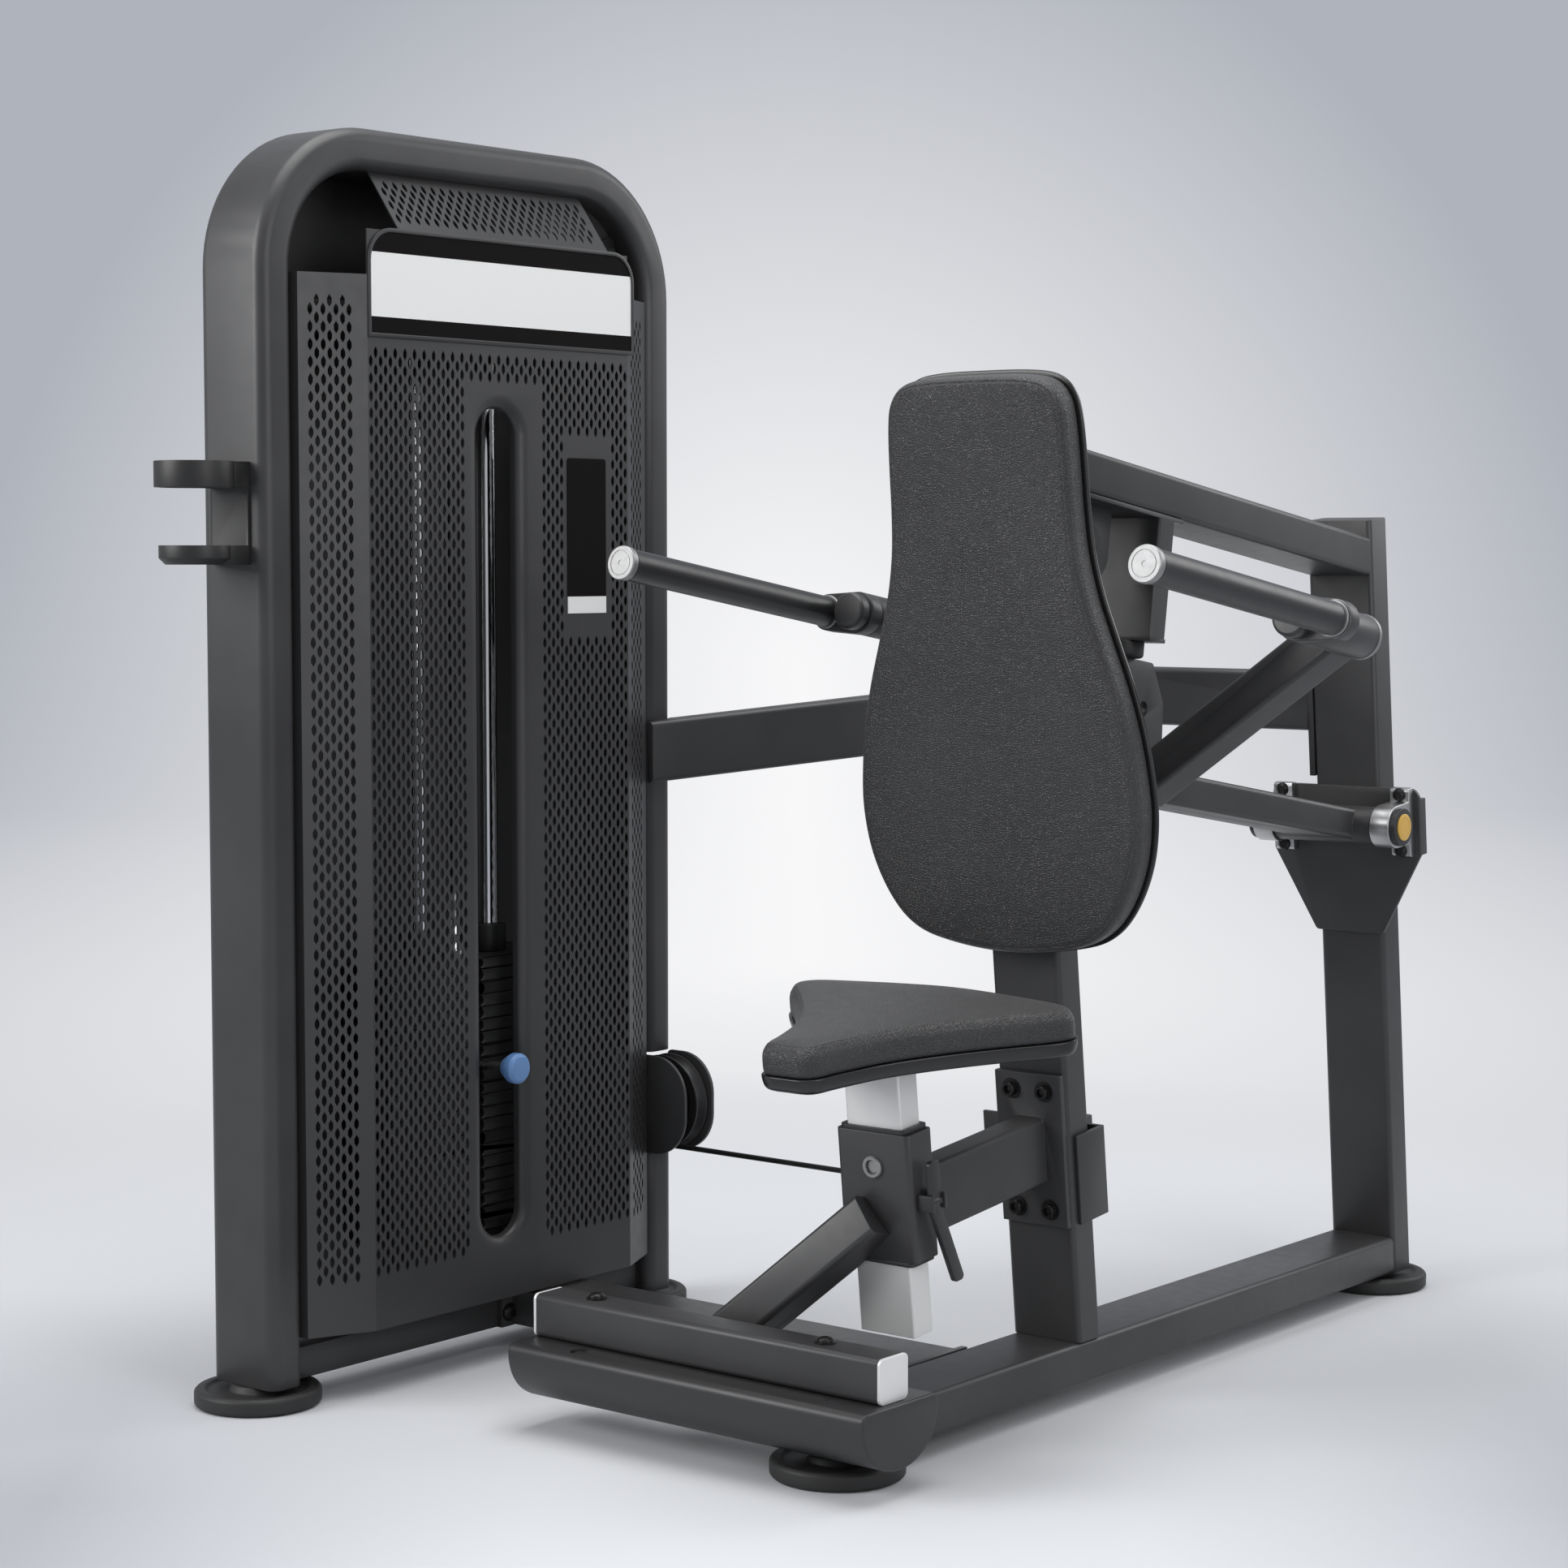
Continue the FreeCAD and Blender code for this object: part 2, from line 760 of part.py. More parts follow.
def tower():
    inner_front = -S.leg_front + S.leg_depth
    inner_rear = S.leg_rear - S.leg_depth
    top = S.tower_height
    outline = [
        (-S.leg_front, S.foot_height), (-S.leg_front, top, S.tower_bend), (S.leg_rear, top, S.tower_bend),
        (S.leg_rear, S.foot_height), (inner_rear, S.foot_height),
        (inner_rear, top - S.leg_depth, S.tower_bend - S.leg_depth),
        (inner_front, top - S.leg_depth, S.tower_bend - S.leg_depth), (inner_front, S.foot_height),
    ]
    place = at(-S.tower_x - S.tower_width / 2, 0, 0, FACING_SIDE)
    body = prism("tower_tube", outline, S.tower_width, place)
    foot = float(S.foot_height) + TOUCH
    rounded(body, S.tower_edge, lambda box: box.ZLength < TOUCH and box.YMax > foot)
    channel = S.cable_radius * 3
    low = S.low_pulley_z
    notch = box(
        "low_notch", S.tower_width, S.leg_depth * 2, (S.pulley_low + S.pulley_rim * 2) * 2,
        at(-S.tower_x - channel, S.guide_y - S.leg_depth, low - S.pulley_low - S.pulley_rim * 2))
    bore = box(
        "cable_channel", channel * 2, channel * 2, S.top_pulley_z - low,
        at(-S.tower_x - channel, S.guide_y - channel, low))
    slot_half = S.pulley_width / 2 + S.bracket_gap
    slot = cylinder(
        "top_slot", S.pulley_top + S.pulley_rim + S.bracket_gap, slot_half * 2,
        top_places()[1].multiply(at(0, 0, -slot_half)))
    tube = cut("tower_cut", body, [notch, bore, slot])
    sill = box(
        "tower_sill", S.sill_width, inner_rear - inner_front, S.sill_height,
        at(-S.sill_x - S.sill_width / 2, inner_front, S.sill_lift))
    rod_bar = box(
        "rod_bar", S.sill_width, inner_rear - inner_front, S.rod_bar_height,
        at(-S.tower_x - S.sill_width / 2, inner_front, rod_top()))
    cable_hole = cylinder(
        "cable_hole", S.cable_radius * 2, S.rod_bar_height, at(-S.tower_x, S.stack_y, rod_top()))
    rod_bar = cut("rod_bar_cut", rod_bar, [cable_hole])
    keep("tower_frame", fuse("tower_frame", [tube, sill, rod_bar]))
    nodes["tower_frame"].addProperty("App::PropertyLink", "Tube")
    nodes["tower_frame"].Tube = body


def rod_top():
    """The top of the guide rods, under the bar that holds them."""
    return S.top_pulley_z - S.rod_bar_drop - S.rod_bar_height


def rods_and_cushions():
    sill_top = S.sill_lift + S.sill_height
    length = rod_top() - sill_top
    rods, risers = [], []
    for name, y in (("front", S.stack_y - S.rod_spread / 2), ("rear", S.stack_y + S.rod_spread / 2)):
        rods.append(cylinder("rod_" + name, S.rod_radius, length, at(-S.tower_x, y, sill_top)))
        step = S.stack_bottom - S.cushion_height
        points = [
            (S.rod_radius, sill_top), (S.riser_radius, sill_top), (S.riser_radius, step),
            (S.cushion_radius, step), (S.cushion_radius, S.stack_bottom), (S.rod_radius, S.stack_bottom),
        ]
        risers.append(turned("cushion_" + name, points, at(-S.tower_x, y, 0)))
    keep("guide_rods", group("guide_rods", rods))
    keep("stack_cushions", group("stack_cushions", risers))


def weight_plate(name):
    """One weight: rounded front and back, two rod holes and the stem hole."""
    half = S.plate_depth / 2
    outline = [
        (-half, -S.plate_width / 2, S.plate_round), (half, -S.plate_width / 2, S.plate_round),
        (half, S.plate_width / 2, S.plate_round), (-half, S.plate_width / 2, S.plate_round),
    ]
    guide = S.rod_radius + S.rod_clear
    holes = [(0, -S.rod_spread / 2, guide), (0, S.rod_spread / 2, guide), (0, 0, S.stem_hole)]
    plate = prism(name, outline, S.plate_pitch - S.plate_gap, at(0, 0, 0), holes)
    bore = S.pin_radius + S.rod_clear
    turn = Rotation(Y_AXIS, 90)
    height = (S.plate_pitch - S.plate_gap) / 2
    start = -S.stem_radius * 3
    drill_hole = cylinder(name + "_hole", bore, half + S.overrun, at(start, 0, height, turn))
    return cut(name + "_drilled", plate, [drill_hole])


def weight_stack():
    master = weight_plate("weight_plate")
    count = int(round(float(S.plate_count)))
    lifted = int(round(float(S.lifted_count)))
    heights = [S.stack_bottom + S.plate_pitch * index for index in range(count)]
    places = [at(-S.tower_x, S.stack_y, height) for height in heights]
    keep("resting_plates", repeat("resting_plates", master, places[:count - lifted]))
    keep("lifted_plates", repeat("lifted_plates", master, places[count - lifted:count - 1]))
    top = heights[-1]
    plate = repeat("top_plate", master, [places[-1]])
    head_top = top + S.plate_pitch - S.plate_gap
    collars = []
    for name, y in (("front", S.stack_y - S.rod_spread / 2), ("rear", S.stack_y + S.rod_spread / 2)):
        points = [
            (S.rod_radius + S.rod_clear, head_top), (S.collar_radius, head_top),
            (S.collar_radius, head_top + S.collar_height), (S.rod_radius + S.rod_clear, head_top + S.collar_height),
        ]
        collars.append(turned("collar_" + name, points, at(-S.tower_x, y, 0)))
    stem_top = head_top + S.stem_height
    stem_bottom = S.stack_bottom + S.plate_pitch * (count - lifted - 1)
    stem = cylinder("stem_bar", S.stem_radius, stem_top - stem_bottom, at(-S.tower_x, S.stack_y, stem_bottom))
    pin_z = pin_height()
    turn = Rotation(Y_AXIS, 90)
    stem_hole = cylinder(
        "stem_hole", S.pin_radius + S.run_fit, S.stem_radius * 4,
        at(-S.tower_x - S.stem_radius * 2, S.stack_y, pin_z, turn))
    stem = cut("stem_drilled", stem, [stem_hole])
    flange = cylinder(
        "stem_flange", S.stem_hole + S.collar_height / 4, S.collar_height / 4,
        at(-S.tower_x, S.stack_y, head_top))
    flange = cut("stem_nut", flange, [stem])
    keep("head_plate", group("head_plate", [plate] + collars))
    keep("selector_stem", group("selector_stem", [stem, flange]))


def pin_height():
    count = float(S.plate_count) - float(S.lifted_count)
    return S.stack_bottom + S.plate_pitch * round(count) + (S.plate_pitch - S.plate_gap) / 2


def selector_pin():
    """The pin with its round grip knob, pushed through the slot into the lowest lifted weight."""
    length = S.tower_x - S.knob_x + S.stem_radius * 2
    edge = S.knob_radius / 5
    points = [
        (0, 0), (S.pin_radius, 0), (S.pin_radius, length - S.knob_length),
        (S.knob_radius * S.knob_neck_share, length - S.knob_length), (S.knob_radius, length - S.knob_length / 2),
        (S.knob_radius, length - edge), (S.knob_radius - edge, length), (0, length),
    ]
    place = at(-S.tower_x - S.stem_radius * 2, S.stack_y, pin_height(), Rotation(Y_AXIS, 90))
    keep("selector_pin", turned("selector_pin", points, place))


def slot_points(width, low, high):
    half = width / 2
    turn = half * S.full_round_share
    return [
        (S.slot_y - half, low, turn), (S.slot_y + half, low, turn),
        (S.slot_y + half, high, turn), (S.slot_y - half, high, turn),
    ]


def shroud():
    """Folded sheet guard: a flat centre panel with a slot, and a side strip folded back each way."""
    wall = S.sheet_wall
    lip = S.shroud_fold_x + S.shroud_lip
    front = S.leg_depth - S.leg_front
    rear = S.leg_rear - S.leg_depth
    outline = [
        (-lip, front), (-S.shroud_fold_x, front), (-S.shroud_face_x, -S.panel_front),
        (-S.shroud_face_x, S.panel_rear), (-S.shroud_fold_x, S.shroud_edge_rear),
        (-S.shroud_fold_x - wall * 2, rear), (-lip, rear), (-lip, rear - wall),
        (-S.shroud_fold_x - wall * 3, rear - wall), (-S.shroud_fold_x - wall, S.shroud_edge_rear - wall / 2),
        (-S.shroud_face_x - wall, S.panel_rear - wall / 2), (-S.shroud_face_x - wall, -S.panel_front + wall / 2),
        (-S.shroud_fold_x - wall, front + wall), (-lip, front + wall),
    ]
    strips = prism("shroud_sheet", outline, S.strip_top - S.shroud_bottom, at(0, 0, S.shroud_bottom))
    head = [
        (-S.panel_front, S.strip_top - S.overrun), (S.panel_rear, S.strip_top - S.overrun),
        (S.panel_rear, S.panel_top, S.panel_round), (-S.panel_front, S.panel_top, S.panel_round),
    ]
    panel = prism("shroud_head", head, wall, at(-S.shroud_face_x - wall, 0, 0, FACING_SIDE))
    sheet_part = fuse("shroud_whole", [strips, panel])
    low = S.bezel_bottom + (S.bezel_width - S.slot_width) / 2
    high = S.bezel_top - (S.bezel_width - S.slot_width) / 2
    place = at(-S.shroud_face_x - wall - S.overrun, 0, 0, FACING_SIDE)
    rim = slot_points(S.bezel_width, S.bezel_bottom, S.bezel_top)
    opening = prism("slot_opening", rim, wall + S.overrun * 2, place)
    reach = S.pulley_low + S.pulley_rim * 3
    wheel_room = box(
        "wheel_room", reach * 2, S.leg_depth, reach * 2,
        at(-S.tower_x + S.pulley_low - reach, S.shroud_edge_rear - S.leg_depth / 4, S.low_pulley_z - reach))
    keep("front_shroud", cut("front_shroud", sheet_part, [opening, wheel_room]))
    bezel = prism(
        "slot_bezel", rim, S.bezel_depth, at(-S.shroud_face_x - S.bezel_depth, 0, 0, FACING_SIDE),
        inner=slot_points(S.slot_width, low, high))
    keep("slot_bezel", bezel)
    outline = [
        (-S.shroud_face_x, S.panel_top), (-S.hood_top_x, S.hood_top_z),
        (-S.hood_top_x - wall, S.hood_top_z), (-S.shroud_face_x - wall, S.panel_top),
    ]
    hood = prism("shroud_hood", outline, S.hood_front + S.hood_rear, at(0, S.hood_rear, 0, FACING_FRONT))
    keep("shroud_hood", cut("shroud_hood", hood, [nodes["tower_frame"].Tube]))
    margin = S.cover_margin
    arch = S.tower_height - S.leg_depth + margin
    bend = S.tower_bend - S.leg_depth + margin
    cover = [
        (front - margin, S.shroud_bottom), (rear + margin, S.shroud_bottom),
        (rear + margin, arch, bend), (front - margin, arch, bend),
    ]
    back = prism("rear_sheet", cover, wall, at(-S.rear_cover_x, 0, 0, FACING_SIDE))
    flanges = []
    for name, y in (("front", front), ("rear", rear - wall)):
        flanges.append(box(
            "cover_flange_" + name, S.cover_lip, wall, S.strip_top - S.shroud_bottom,
            at(-S.rear_cover_x, y, S.shroud_bottom)))
    keep("rear_cover", fuse("rear_cover", [back] + flanges))


def plain_plates():
    """The bare plate at the head of the guard and the small one beside the slot."""
    head = [
        (-S.placard_front, S.placard_top - S.placard_height),
        (S.placard_rear, S.placard_top - S.placard_height),
        (S.placard_rear, S.placard_top, S.panel_round), (-S.placard_front, S.placard_top, S.panel_round),
    ]
    side = [
        (S.label_front, S.label_top - S.label_height), (S.label_rear, S.label_top - S.label_height),
        (S.label_rear, S.label_top), (S.label_front, S.label_top),
    ]
    place = at(-S.shroud_face_x, 0, 0, FACING_SIDE)
    head_plate = prism("head_panel", head, S.label_wall, place)
    side_plate = prism("side_panel", side, S.label_wall, place)
    keep("guard_panels", group("guard_panels", [head_plate, side_plate]))


def cup_holder():
    y = -S.cup_y
    wall = S.cup_wall
    ring_top = S.cup_ring_bottom + S.cup_ring_height
    ring = [
        (S.cup_radius - wall, S.cup_ring_bottom), (S.cup_radius, S.cup_ring_bottom),
        (S.cup_radius, ring_top), (S.cup_radius - wall, ring_top),
    ]
    tray_top = S.cup_tray_bottom + S.cup_tray_height
    edge = S.cup_tray_height / 3
    tray = [
        (0, S.cup_tray_bottom), (S.cup_tray_radius - edge, S.cup_tray_bottom),
        (S.cup_tray_radius, S.cup_tray_bottom + edge), (S.cup_tray_radius, tray_top),
        (S.cup_tray_radius - wall, tray_top), (S.cup_tray_radius - wall, S.cup_tray_bottom + wall),
        (0, S.cup_tray_bottom + wall),
    ]
    place = at(-S.tower_x, y, 0)
    ring_part = turned("cup_ring", ring, place)
    tray_part = turned("cup_tray", tray, place)
    half = S.cup_plate_width / 2
    back = -S.leg_front
    plate = box(
        "cup_plate", S.cup_plate_width, wall, S.cup_ring_bottom + S.cup_ring_height - S.cup_tray_bottom,
        at(-S.tower_x - half, back - wall, S.cup_tray_bottom))
    arms = []
    span = S.cup_y - S.leg_front - wall
    for name, bottom, height in (
            ("ring", S.cup_ring_bottom, S.cup_ring_height), ("tray", S.cup_tray_bottom, S.cup_tray_height)):
        for side, x in (("left", -half), ("right", half - wall)):
            arms.append(box(
                "cup_arm_%s_%s" % (name, side), wall, span, height,
                at(-S.tower_x + x, y + wall, bottom)))
    ring_space = cylinder("ring_space", S.cup_radius - wall, S.cup_ring_height, at(-S.tower_x, y, S.cup_ring_bottom))
    tray_space = cylinder(
        "tray_space", S.cup_tray_radius - wall, S.cup_tray_height,
        at(-S.tower_x, y, S.cup_tray_bottom + wall))
    arms = [cut(arm.Name + "_cut", arm, [ring_space, tray_space]) for arm in arms]
    keep("cup_holder", fuse("cup_holder", [ring_part, tray_part, plate] + arms))



def pulley(label, radius, place):
    """A grooved wheel; radius is the cable's centre line, the axis is local Z."""
    half = S.pulley_width / 2
    rim = radius + S.pulley_rim
    groove = radius - S.cable_radius - S.seat_gap
    flat = S.cable_radius + S.seat_gap
    hub = S.pulley_bore * 2
    web = S.pulley_width / 3
    points = [
        (S.pulley_bore + S.run_fit, -half), (hub, -half), (hub, -web), (groove - S.pulley_rim * 2, -web),
        (groove - S.pulley_rim, -half), (rim, -half), (groove, -flat), (groove, flat), (rim, half),
        (groove - S.pulley_rim, half), (groove - S.pulley_rim * 2, web), (hub, web), (hub, half),
        (S.pulley_bore + S.run_fit, half),
    ]
    keep(label, turned(label, points, place))


def pulley_axle(name, place, length):
    return cylinder(name, S.pulley_bore, length, place.multiply(at(0, 0, -length / 2)))


def low_place():
    return at(-S.tower_x + S.pulley_low, S.guide_y, S.low_pulley_z, FACING_FRONT)


def column_place():
    return LEAN.multiply(at(-S.pulley_low, S.column_run, S.column_pulley_z, FACING_FRONT))


def upper_place():
    return LEAN.multiply(at(0, S.column_run + S.pulley_top, S.upper_pulley_z, FACING_SIDE))


def top_places():
    first = at(-S.tower_x, S.stack_y + S.pulley_top, S.top_pulley_z, FACING_SIDE)
    second = at(-S.tower_x, S.guide_y - S.pulley_top, S.top_pulley_z, FACING_SIDE)
    return first, second


def pulleys():
    pulley("tower_low_pulley", S.pulley_low, low_place())
    pulley("column_low_pulley", S.pulley_low, column_place())
    pulley("upper_pulley", S.pulley_top, upper_place())
    first, second = top_places()
    pulley("top_pulley_stack", S.pulley_top, first)
    pulley("top_pulley_rear", S.pulley_top, second)


def pulley_brackets():
    wall = S.bracket_wall
    half = S.pulley_width / 2 + S.bracket_gap

    # guard plates either side of the wheel in the tower leg
    reach = S.pulley_low + S.pulley_rim + S.bracket_gap
    plates = []
    for name, y in (("front", S.leg_rear - S.leg_depth - wall), ("rear", S.leg_rear)):
        inner, turn = reach * S.guard_inner_share, reach * S.guard_round_share
        outline = [
            (-inner, -reach, S.corner_round), (reach, -reach, turn),
            (reach, reach, turn), (-inner, reach, S.corner_round),
        ]
        place = at(-S.tower_x + S.pulley_low, y + wall, S.low_pulley_z, FACING_FRONT)
        plates.append(prism("leg_plate_" + name, outline, wall, place))
    span = S.leg_depth + wall * 2
    axle = cylinder(
        "leg_axle", S.pulley_bore, span,
        at(-S.tower_x + S.pulley_low, S.leg_rear + wall, S.low_pulley_z, FACING_FRONT))
    leg_plates = cut("leg_front", plates[0], [axle])
    rear_plates = cut("leg_rear_plate", plates[1], [axle])

    # hanger plates under the tower's top tube
    first, second = top_places()
    hang = S.tower_height - S.leg_depth
    hang_low = S.top_pulley_z - S.pulley_bore * 2
    tops = []
    for name, x in (("left", -S.tower_x - half - wall), ("right", -S.tower_x + half)):
        tops.append(box(
            "top_hanger_" + name, wall, S.guide_y - S.leg_depth - S.stack_y, hang - hang_low,
            at(x, S.stack_y + S.overrun / 2, hang_low)))
    axles = [pulley_axle("top_axle_%d" % i, p, (half + wall) * 2) for i, p in enumerate((first, second))]
    tube = nodes["tower_frame"].Tube
    tops = [cut(plate.Name + "_cut", plate, axles + [tube]) for plate in tops]
    keep("tower_pulley_plates", group("tower_pulley_plates", [leg_plates, rear_plates, axle] + tops + axles))

    # cheeks on the column's sides, the bearing plate across them, and a web out to the wheel's guard
    side = S.frame_width / 2
    front = S.column_run - half - wall
    back = S.column_run + half
    tall = S.column_cheek_height
    low = S.column_pulley_z - tall / 2
    reach = S.pulley_low * 2 + S.pulley_rim
    web = S.bracket_web
    run = front + wall - S.column_depth / 4
    parts = [
        box("cheek_right", wall, run, tall, LEAN.multiply(at(side, S.column_depth / 4, low))),
        box("cheek_left", wall, run, tall, LEAN.multiply(at(-side - wall, S.column_depth / 4, low))),
        box("bearing_plate", reach + side + wall, wall, tall, LEAN.multiply(at(-reach, front, low))),
        box("wheel_guard", reach + web + wall, wall, tall, LEAN.multiply(at(-reach, back, low))),
        box("guard_web", wall, back + wall - front, tall, LEAN.multiply(at(web, front, low))),
    ]
    axle = pulley_axle("cheek_axle", column_place(), half * 2)
    keep("column_pulley_bracket", group("column_pulley_bracket", [fuse("column_cheeks", parts), axle]))

    # two cheeks under the upper beam
    centre = BEAM.inverse().multVec(upper_place().Base)
    rim = S.pulley_top + S.pulley_rim
    wide, slim, drop = rim * S.cheek_reach_share, rim * S.cheek_foot_share, rim * S.cheek_drop_share
    turn = rim * S.cheek_round_share
    outline = [
        (centre.y - wide, -S.beam_depth), (centre.y - wide, centre.z, turn),
        (centre.y - slim, centre.z - drop, turn), (centre.y + slim, centre.z - drop, turn),
        (centre.y + wide, centre.z, turn), (centre.y + wide, -S.beam_depth),
    ]
    cheeks = []
    for name, x in (("left", -half - wall), ("right", half)):
        place = BEAM.multiply(at(x, 0, 0, FACING_SIDE))
        cheeks.append(prism("beam_cheek_" + name, outline, wall, place))
    axle = pulley_axle("beam_axle", upper_place(), (half + wall) * 2)
    column_side = box(
        "column_side", S.frame_width * 2, S.frame_width * 2, S.column_length,
        LEAN.multiply(at(-S.frame_width, S.column_depth - S.frame_width * 2, 0)))
    cheeks = [cut(cheek.Name + "_cut", cheek, [axle, column_side]) for cheek in cheeks]
    keep("upper_pulley_bracket", group("upper_pulley_bracket", cheeks + [axle]))


def round_bar(points, bends, radius):
    """A bar along straight runs joined by arcs; bends gives each corner's arc radius."""
    edges = []
    here = points[0]
    for corner, bend, follow in zip(points[1:-1], bends, points[2:]):
        back = (here - corner).normalize()
        ahead = (follow - corner).normalize()
        half = back.getAngle(ahead) / 2
        cut_length = bend / math.tan(half)
        start = corner + back * cut_length
        end = corner + ahead * cut_length
        inward = (back + ahead).normalize()
        middle = corner + inward * (bend / math.sin(half) - bend)
        if here.distanceToPoint(start) > radius / bend:
            edges.append(Part.LineSegment(here, start).toShape())
        edges.append(Part.Arc(start, middle, end).toShape())
        here = end
    if here.distanceToPoint(points[-1]) > radius / bends[-1]:
        edges.append(Part.LineSegment(here, points[-1]).toShape())
    path = Part.Wire(edges)
    circle = Part.Circle(points[0], points[1] - points[0], radius).toShape()
    bar = path.makePipeShell([Part.Wire([circle])], True, False)
    print("cable length %.0f, arcs %s, volume share %.4f" % (
        path.Length, [round(float(bend), 1) for bend in bends],
        bar.Volume / (math.pi * radius ** 2 * path.Length)))
    return bar


def cables():
    """The fixed run follows every wheel; the two end runs change length as the machine moves."""
    radius = float(S.cable_radius)
    low, top = float(S.pulley_low), float(S.pulley_top)
    up_x = -float(S.tower_x)
    crest = float(S.top_pulley_z) + top
    run = float(S.column_run)
    foot = float(S.column_pulley_z) - low
    column_foot = LEAN.multVec(Vector(0, run, foot))
    column_head = LEAN.multVec(Vector(0, run, float(S.upper_pulley_z) + top))
    head_rear = LEAN.multVec(Vector(0, run + 2 * top, float(S.upper_pulley_z) + top))
    leave = upper_leave()
    floor_run = Vector(up_x, float(S.guide_y), float(S.low_pulley_z) - low)
    points = [
        Vector(up_x, float(S.stack_y), float(S.top_pulley_z)),
        Vector(up_x, float(S.stack_y), crest),
        Vector(up_x, float(S.guide_y), crest),
        floor_run, column_foot, column_head, head_rear, leave,
    ]
    bends = [top, top, low, low, top, top]
    keep("cable_run", formed("cable_run", round_bar(points, bends, radius), Placement()))
    head_top = S.stack_bottom + S.plate_pitch * S.plate_count - S.plate_gap + S.stem_height
    keep("cable_stack_run", cylinder(
        "cable_stack_run", S.cable_radius, S.top_pulley_z - head_top, at(-S.tower_x, S.stack_y, head_top)))
    clevis_top = clevis_eye() + Vector(0, 0, float(S.clevis_fork))
    line = leave - clevis_top
    place = Placement(clevis_top, Rotation(Z_AXIS, line))
    keep("cable_arm_run", cylinder("cable_arm_run", S.cable_radius, line.Length, place))


def upper_leave():
    """Where the cable leaves the upper wheel on its way down to the arm."""
    centre = upper_place().Base
    return Vector(0, centre.y + float(S.pulley_top), centre.z)


def clevis_eye():
    leave = upper_leave()
    return Vector(0, leave.y, float(S.clevis_z))



def yoke_bar(name):
    """One bar of the V, from the arm's end out and up to its pivot housing."""
    half = S.yoke_size / 2
    length = S.swivel_x / math.cos(math.radians(S.yoke_rise)) / math.cos(math.radians(S.yoke_sweep))
    turn = Rotation(Z_AXIS, -S.yoke_sweep).multiply(Rotation(Y_AXIS, -S.yoke_rise))
    turn = turn.multiply(FACING_SIDE)
    place = at(0, -S.yoke_y, -S.yoke_drop, turn).multiply(at(0, 0, -S.overrun))
    section = oblong(half, -half, half, S.corner_round)
    bar = prism(name, section, length + S.overrun, ARM.multiply(place))
    return bar


def mirrored(name, part):
    """The same piece on the other side of the machine's centre plane."""
    copy = doc.addObject("Part::Mirroring", name)
    copy.Source = part
    copy.Base = Vector(0, 0, 0)
    copy.Normal = X_AXIS
    return copy


def press_arm():
    half = S.frame_width / 2
    length = S.arm_length
    up = S.arm_height / 2
    bar = prism("arm_bar", oblong(half, -up, up, S.corner_round), length, ARM.multiply(at(0, -length, 0, ALONG_Y)))
    hub_place = at(-S.hub_length / 2, S.pivot_y, S.pivot_z, FACING_SIDE)
    hub = cylinder("arm_hub", S.hub_radius, S.hub_length, hub_place)
    bore = cylinder(
        "hub_bore", S.axle_radius + S.run_fit, S.hub_length + S.overrun * 2,
        at(-S.hub_length / 2 - S.overrun, S.pivot_y, S.pivot_z, FACING_SIDE))
    far_side = box(
        "yoke_middle", S.swivel_x, S.arm_length * 2, S.arm_length * 2,
        ARM.multiply(at(-S.swivel_x, -S.arm_length * 2, -S.arm_length)))
    under = box(
        "yoke_under", S.swivel_x * 2, S.arm_length * 2, S.overrun * 4,
        ARM.multiply(at(-S.swivel_x, -S.arm_length * 2, -S.yoke_foot - S.overrun * 4)))
    housing_place = ARM.multiply(at(S.swivel_x, -S.housing_start, S.swivel_up, FACING_FRONT))
    housing = cylinder("housing_tube", S.housing_radius, S.housing_end - S.housing_start, housing_place)
    shaft_hole = cylinder(
        "housing_bore", S.swivel_radius + S.run_fit, S.housing_end - S.housing_start - S.corner_round,
        ARM.multiply(at(S.swivel_x, -S.housing_start - S.corner_round, S.swivel_up, FACING_FRONT)))
    raw = yoke_bar("yoke_tube")
    right = cut("yoke_right", raw, [far_side, under, housing])
    left = mirrored("yoke_left", right)
    right_housing = cut("housing_right", housing, [shaft_hole])
    left_housing = mirrored("housing_left", right_housing)
    bars = fuse("yoke_bars", [right, left])
    arm = fuse("arm_joined", [bar, hub])
    keep("arm_tube", cut("arm_tube", arm, [bore, bars]))
    keep("yoke_bars", bars)
    keep("pivot_housings", group("pivot_housings", [right_housing, left_housing]))
    stop_lug()


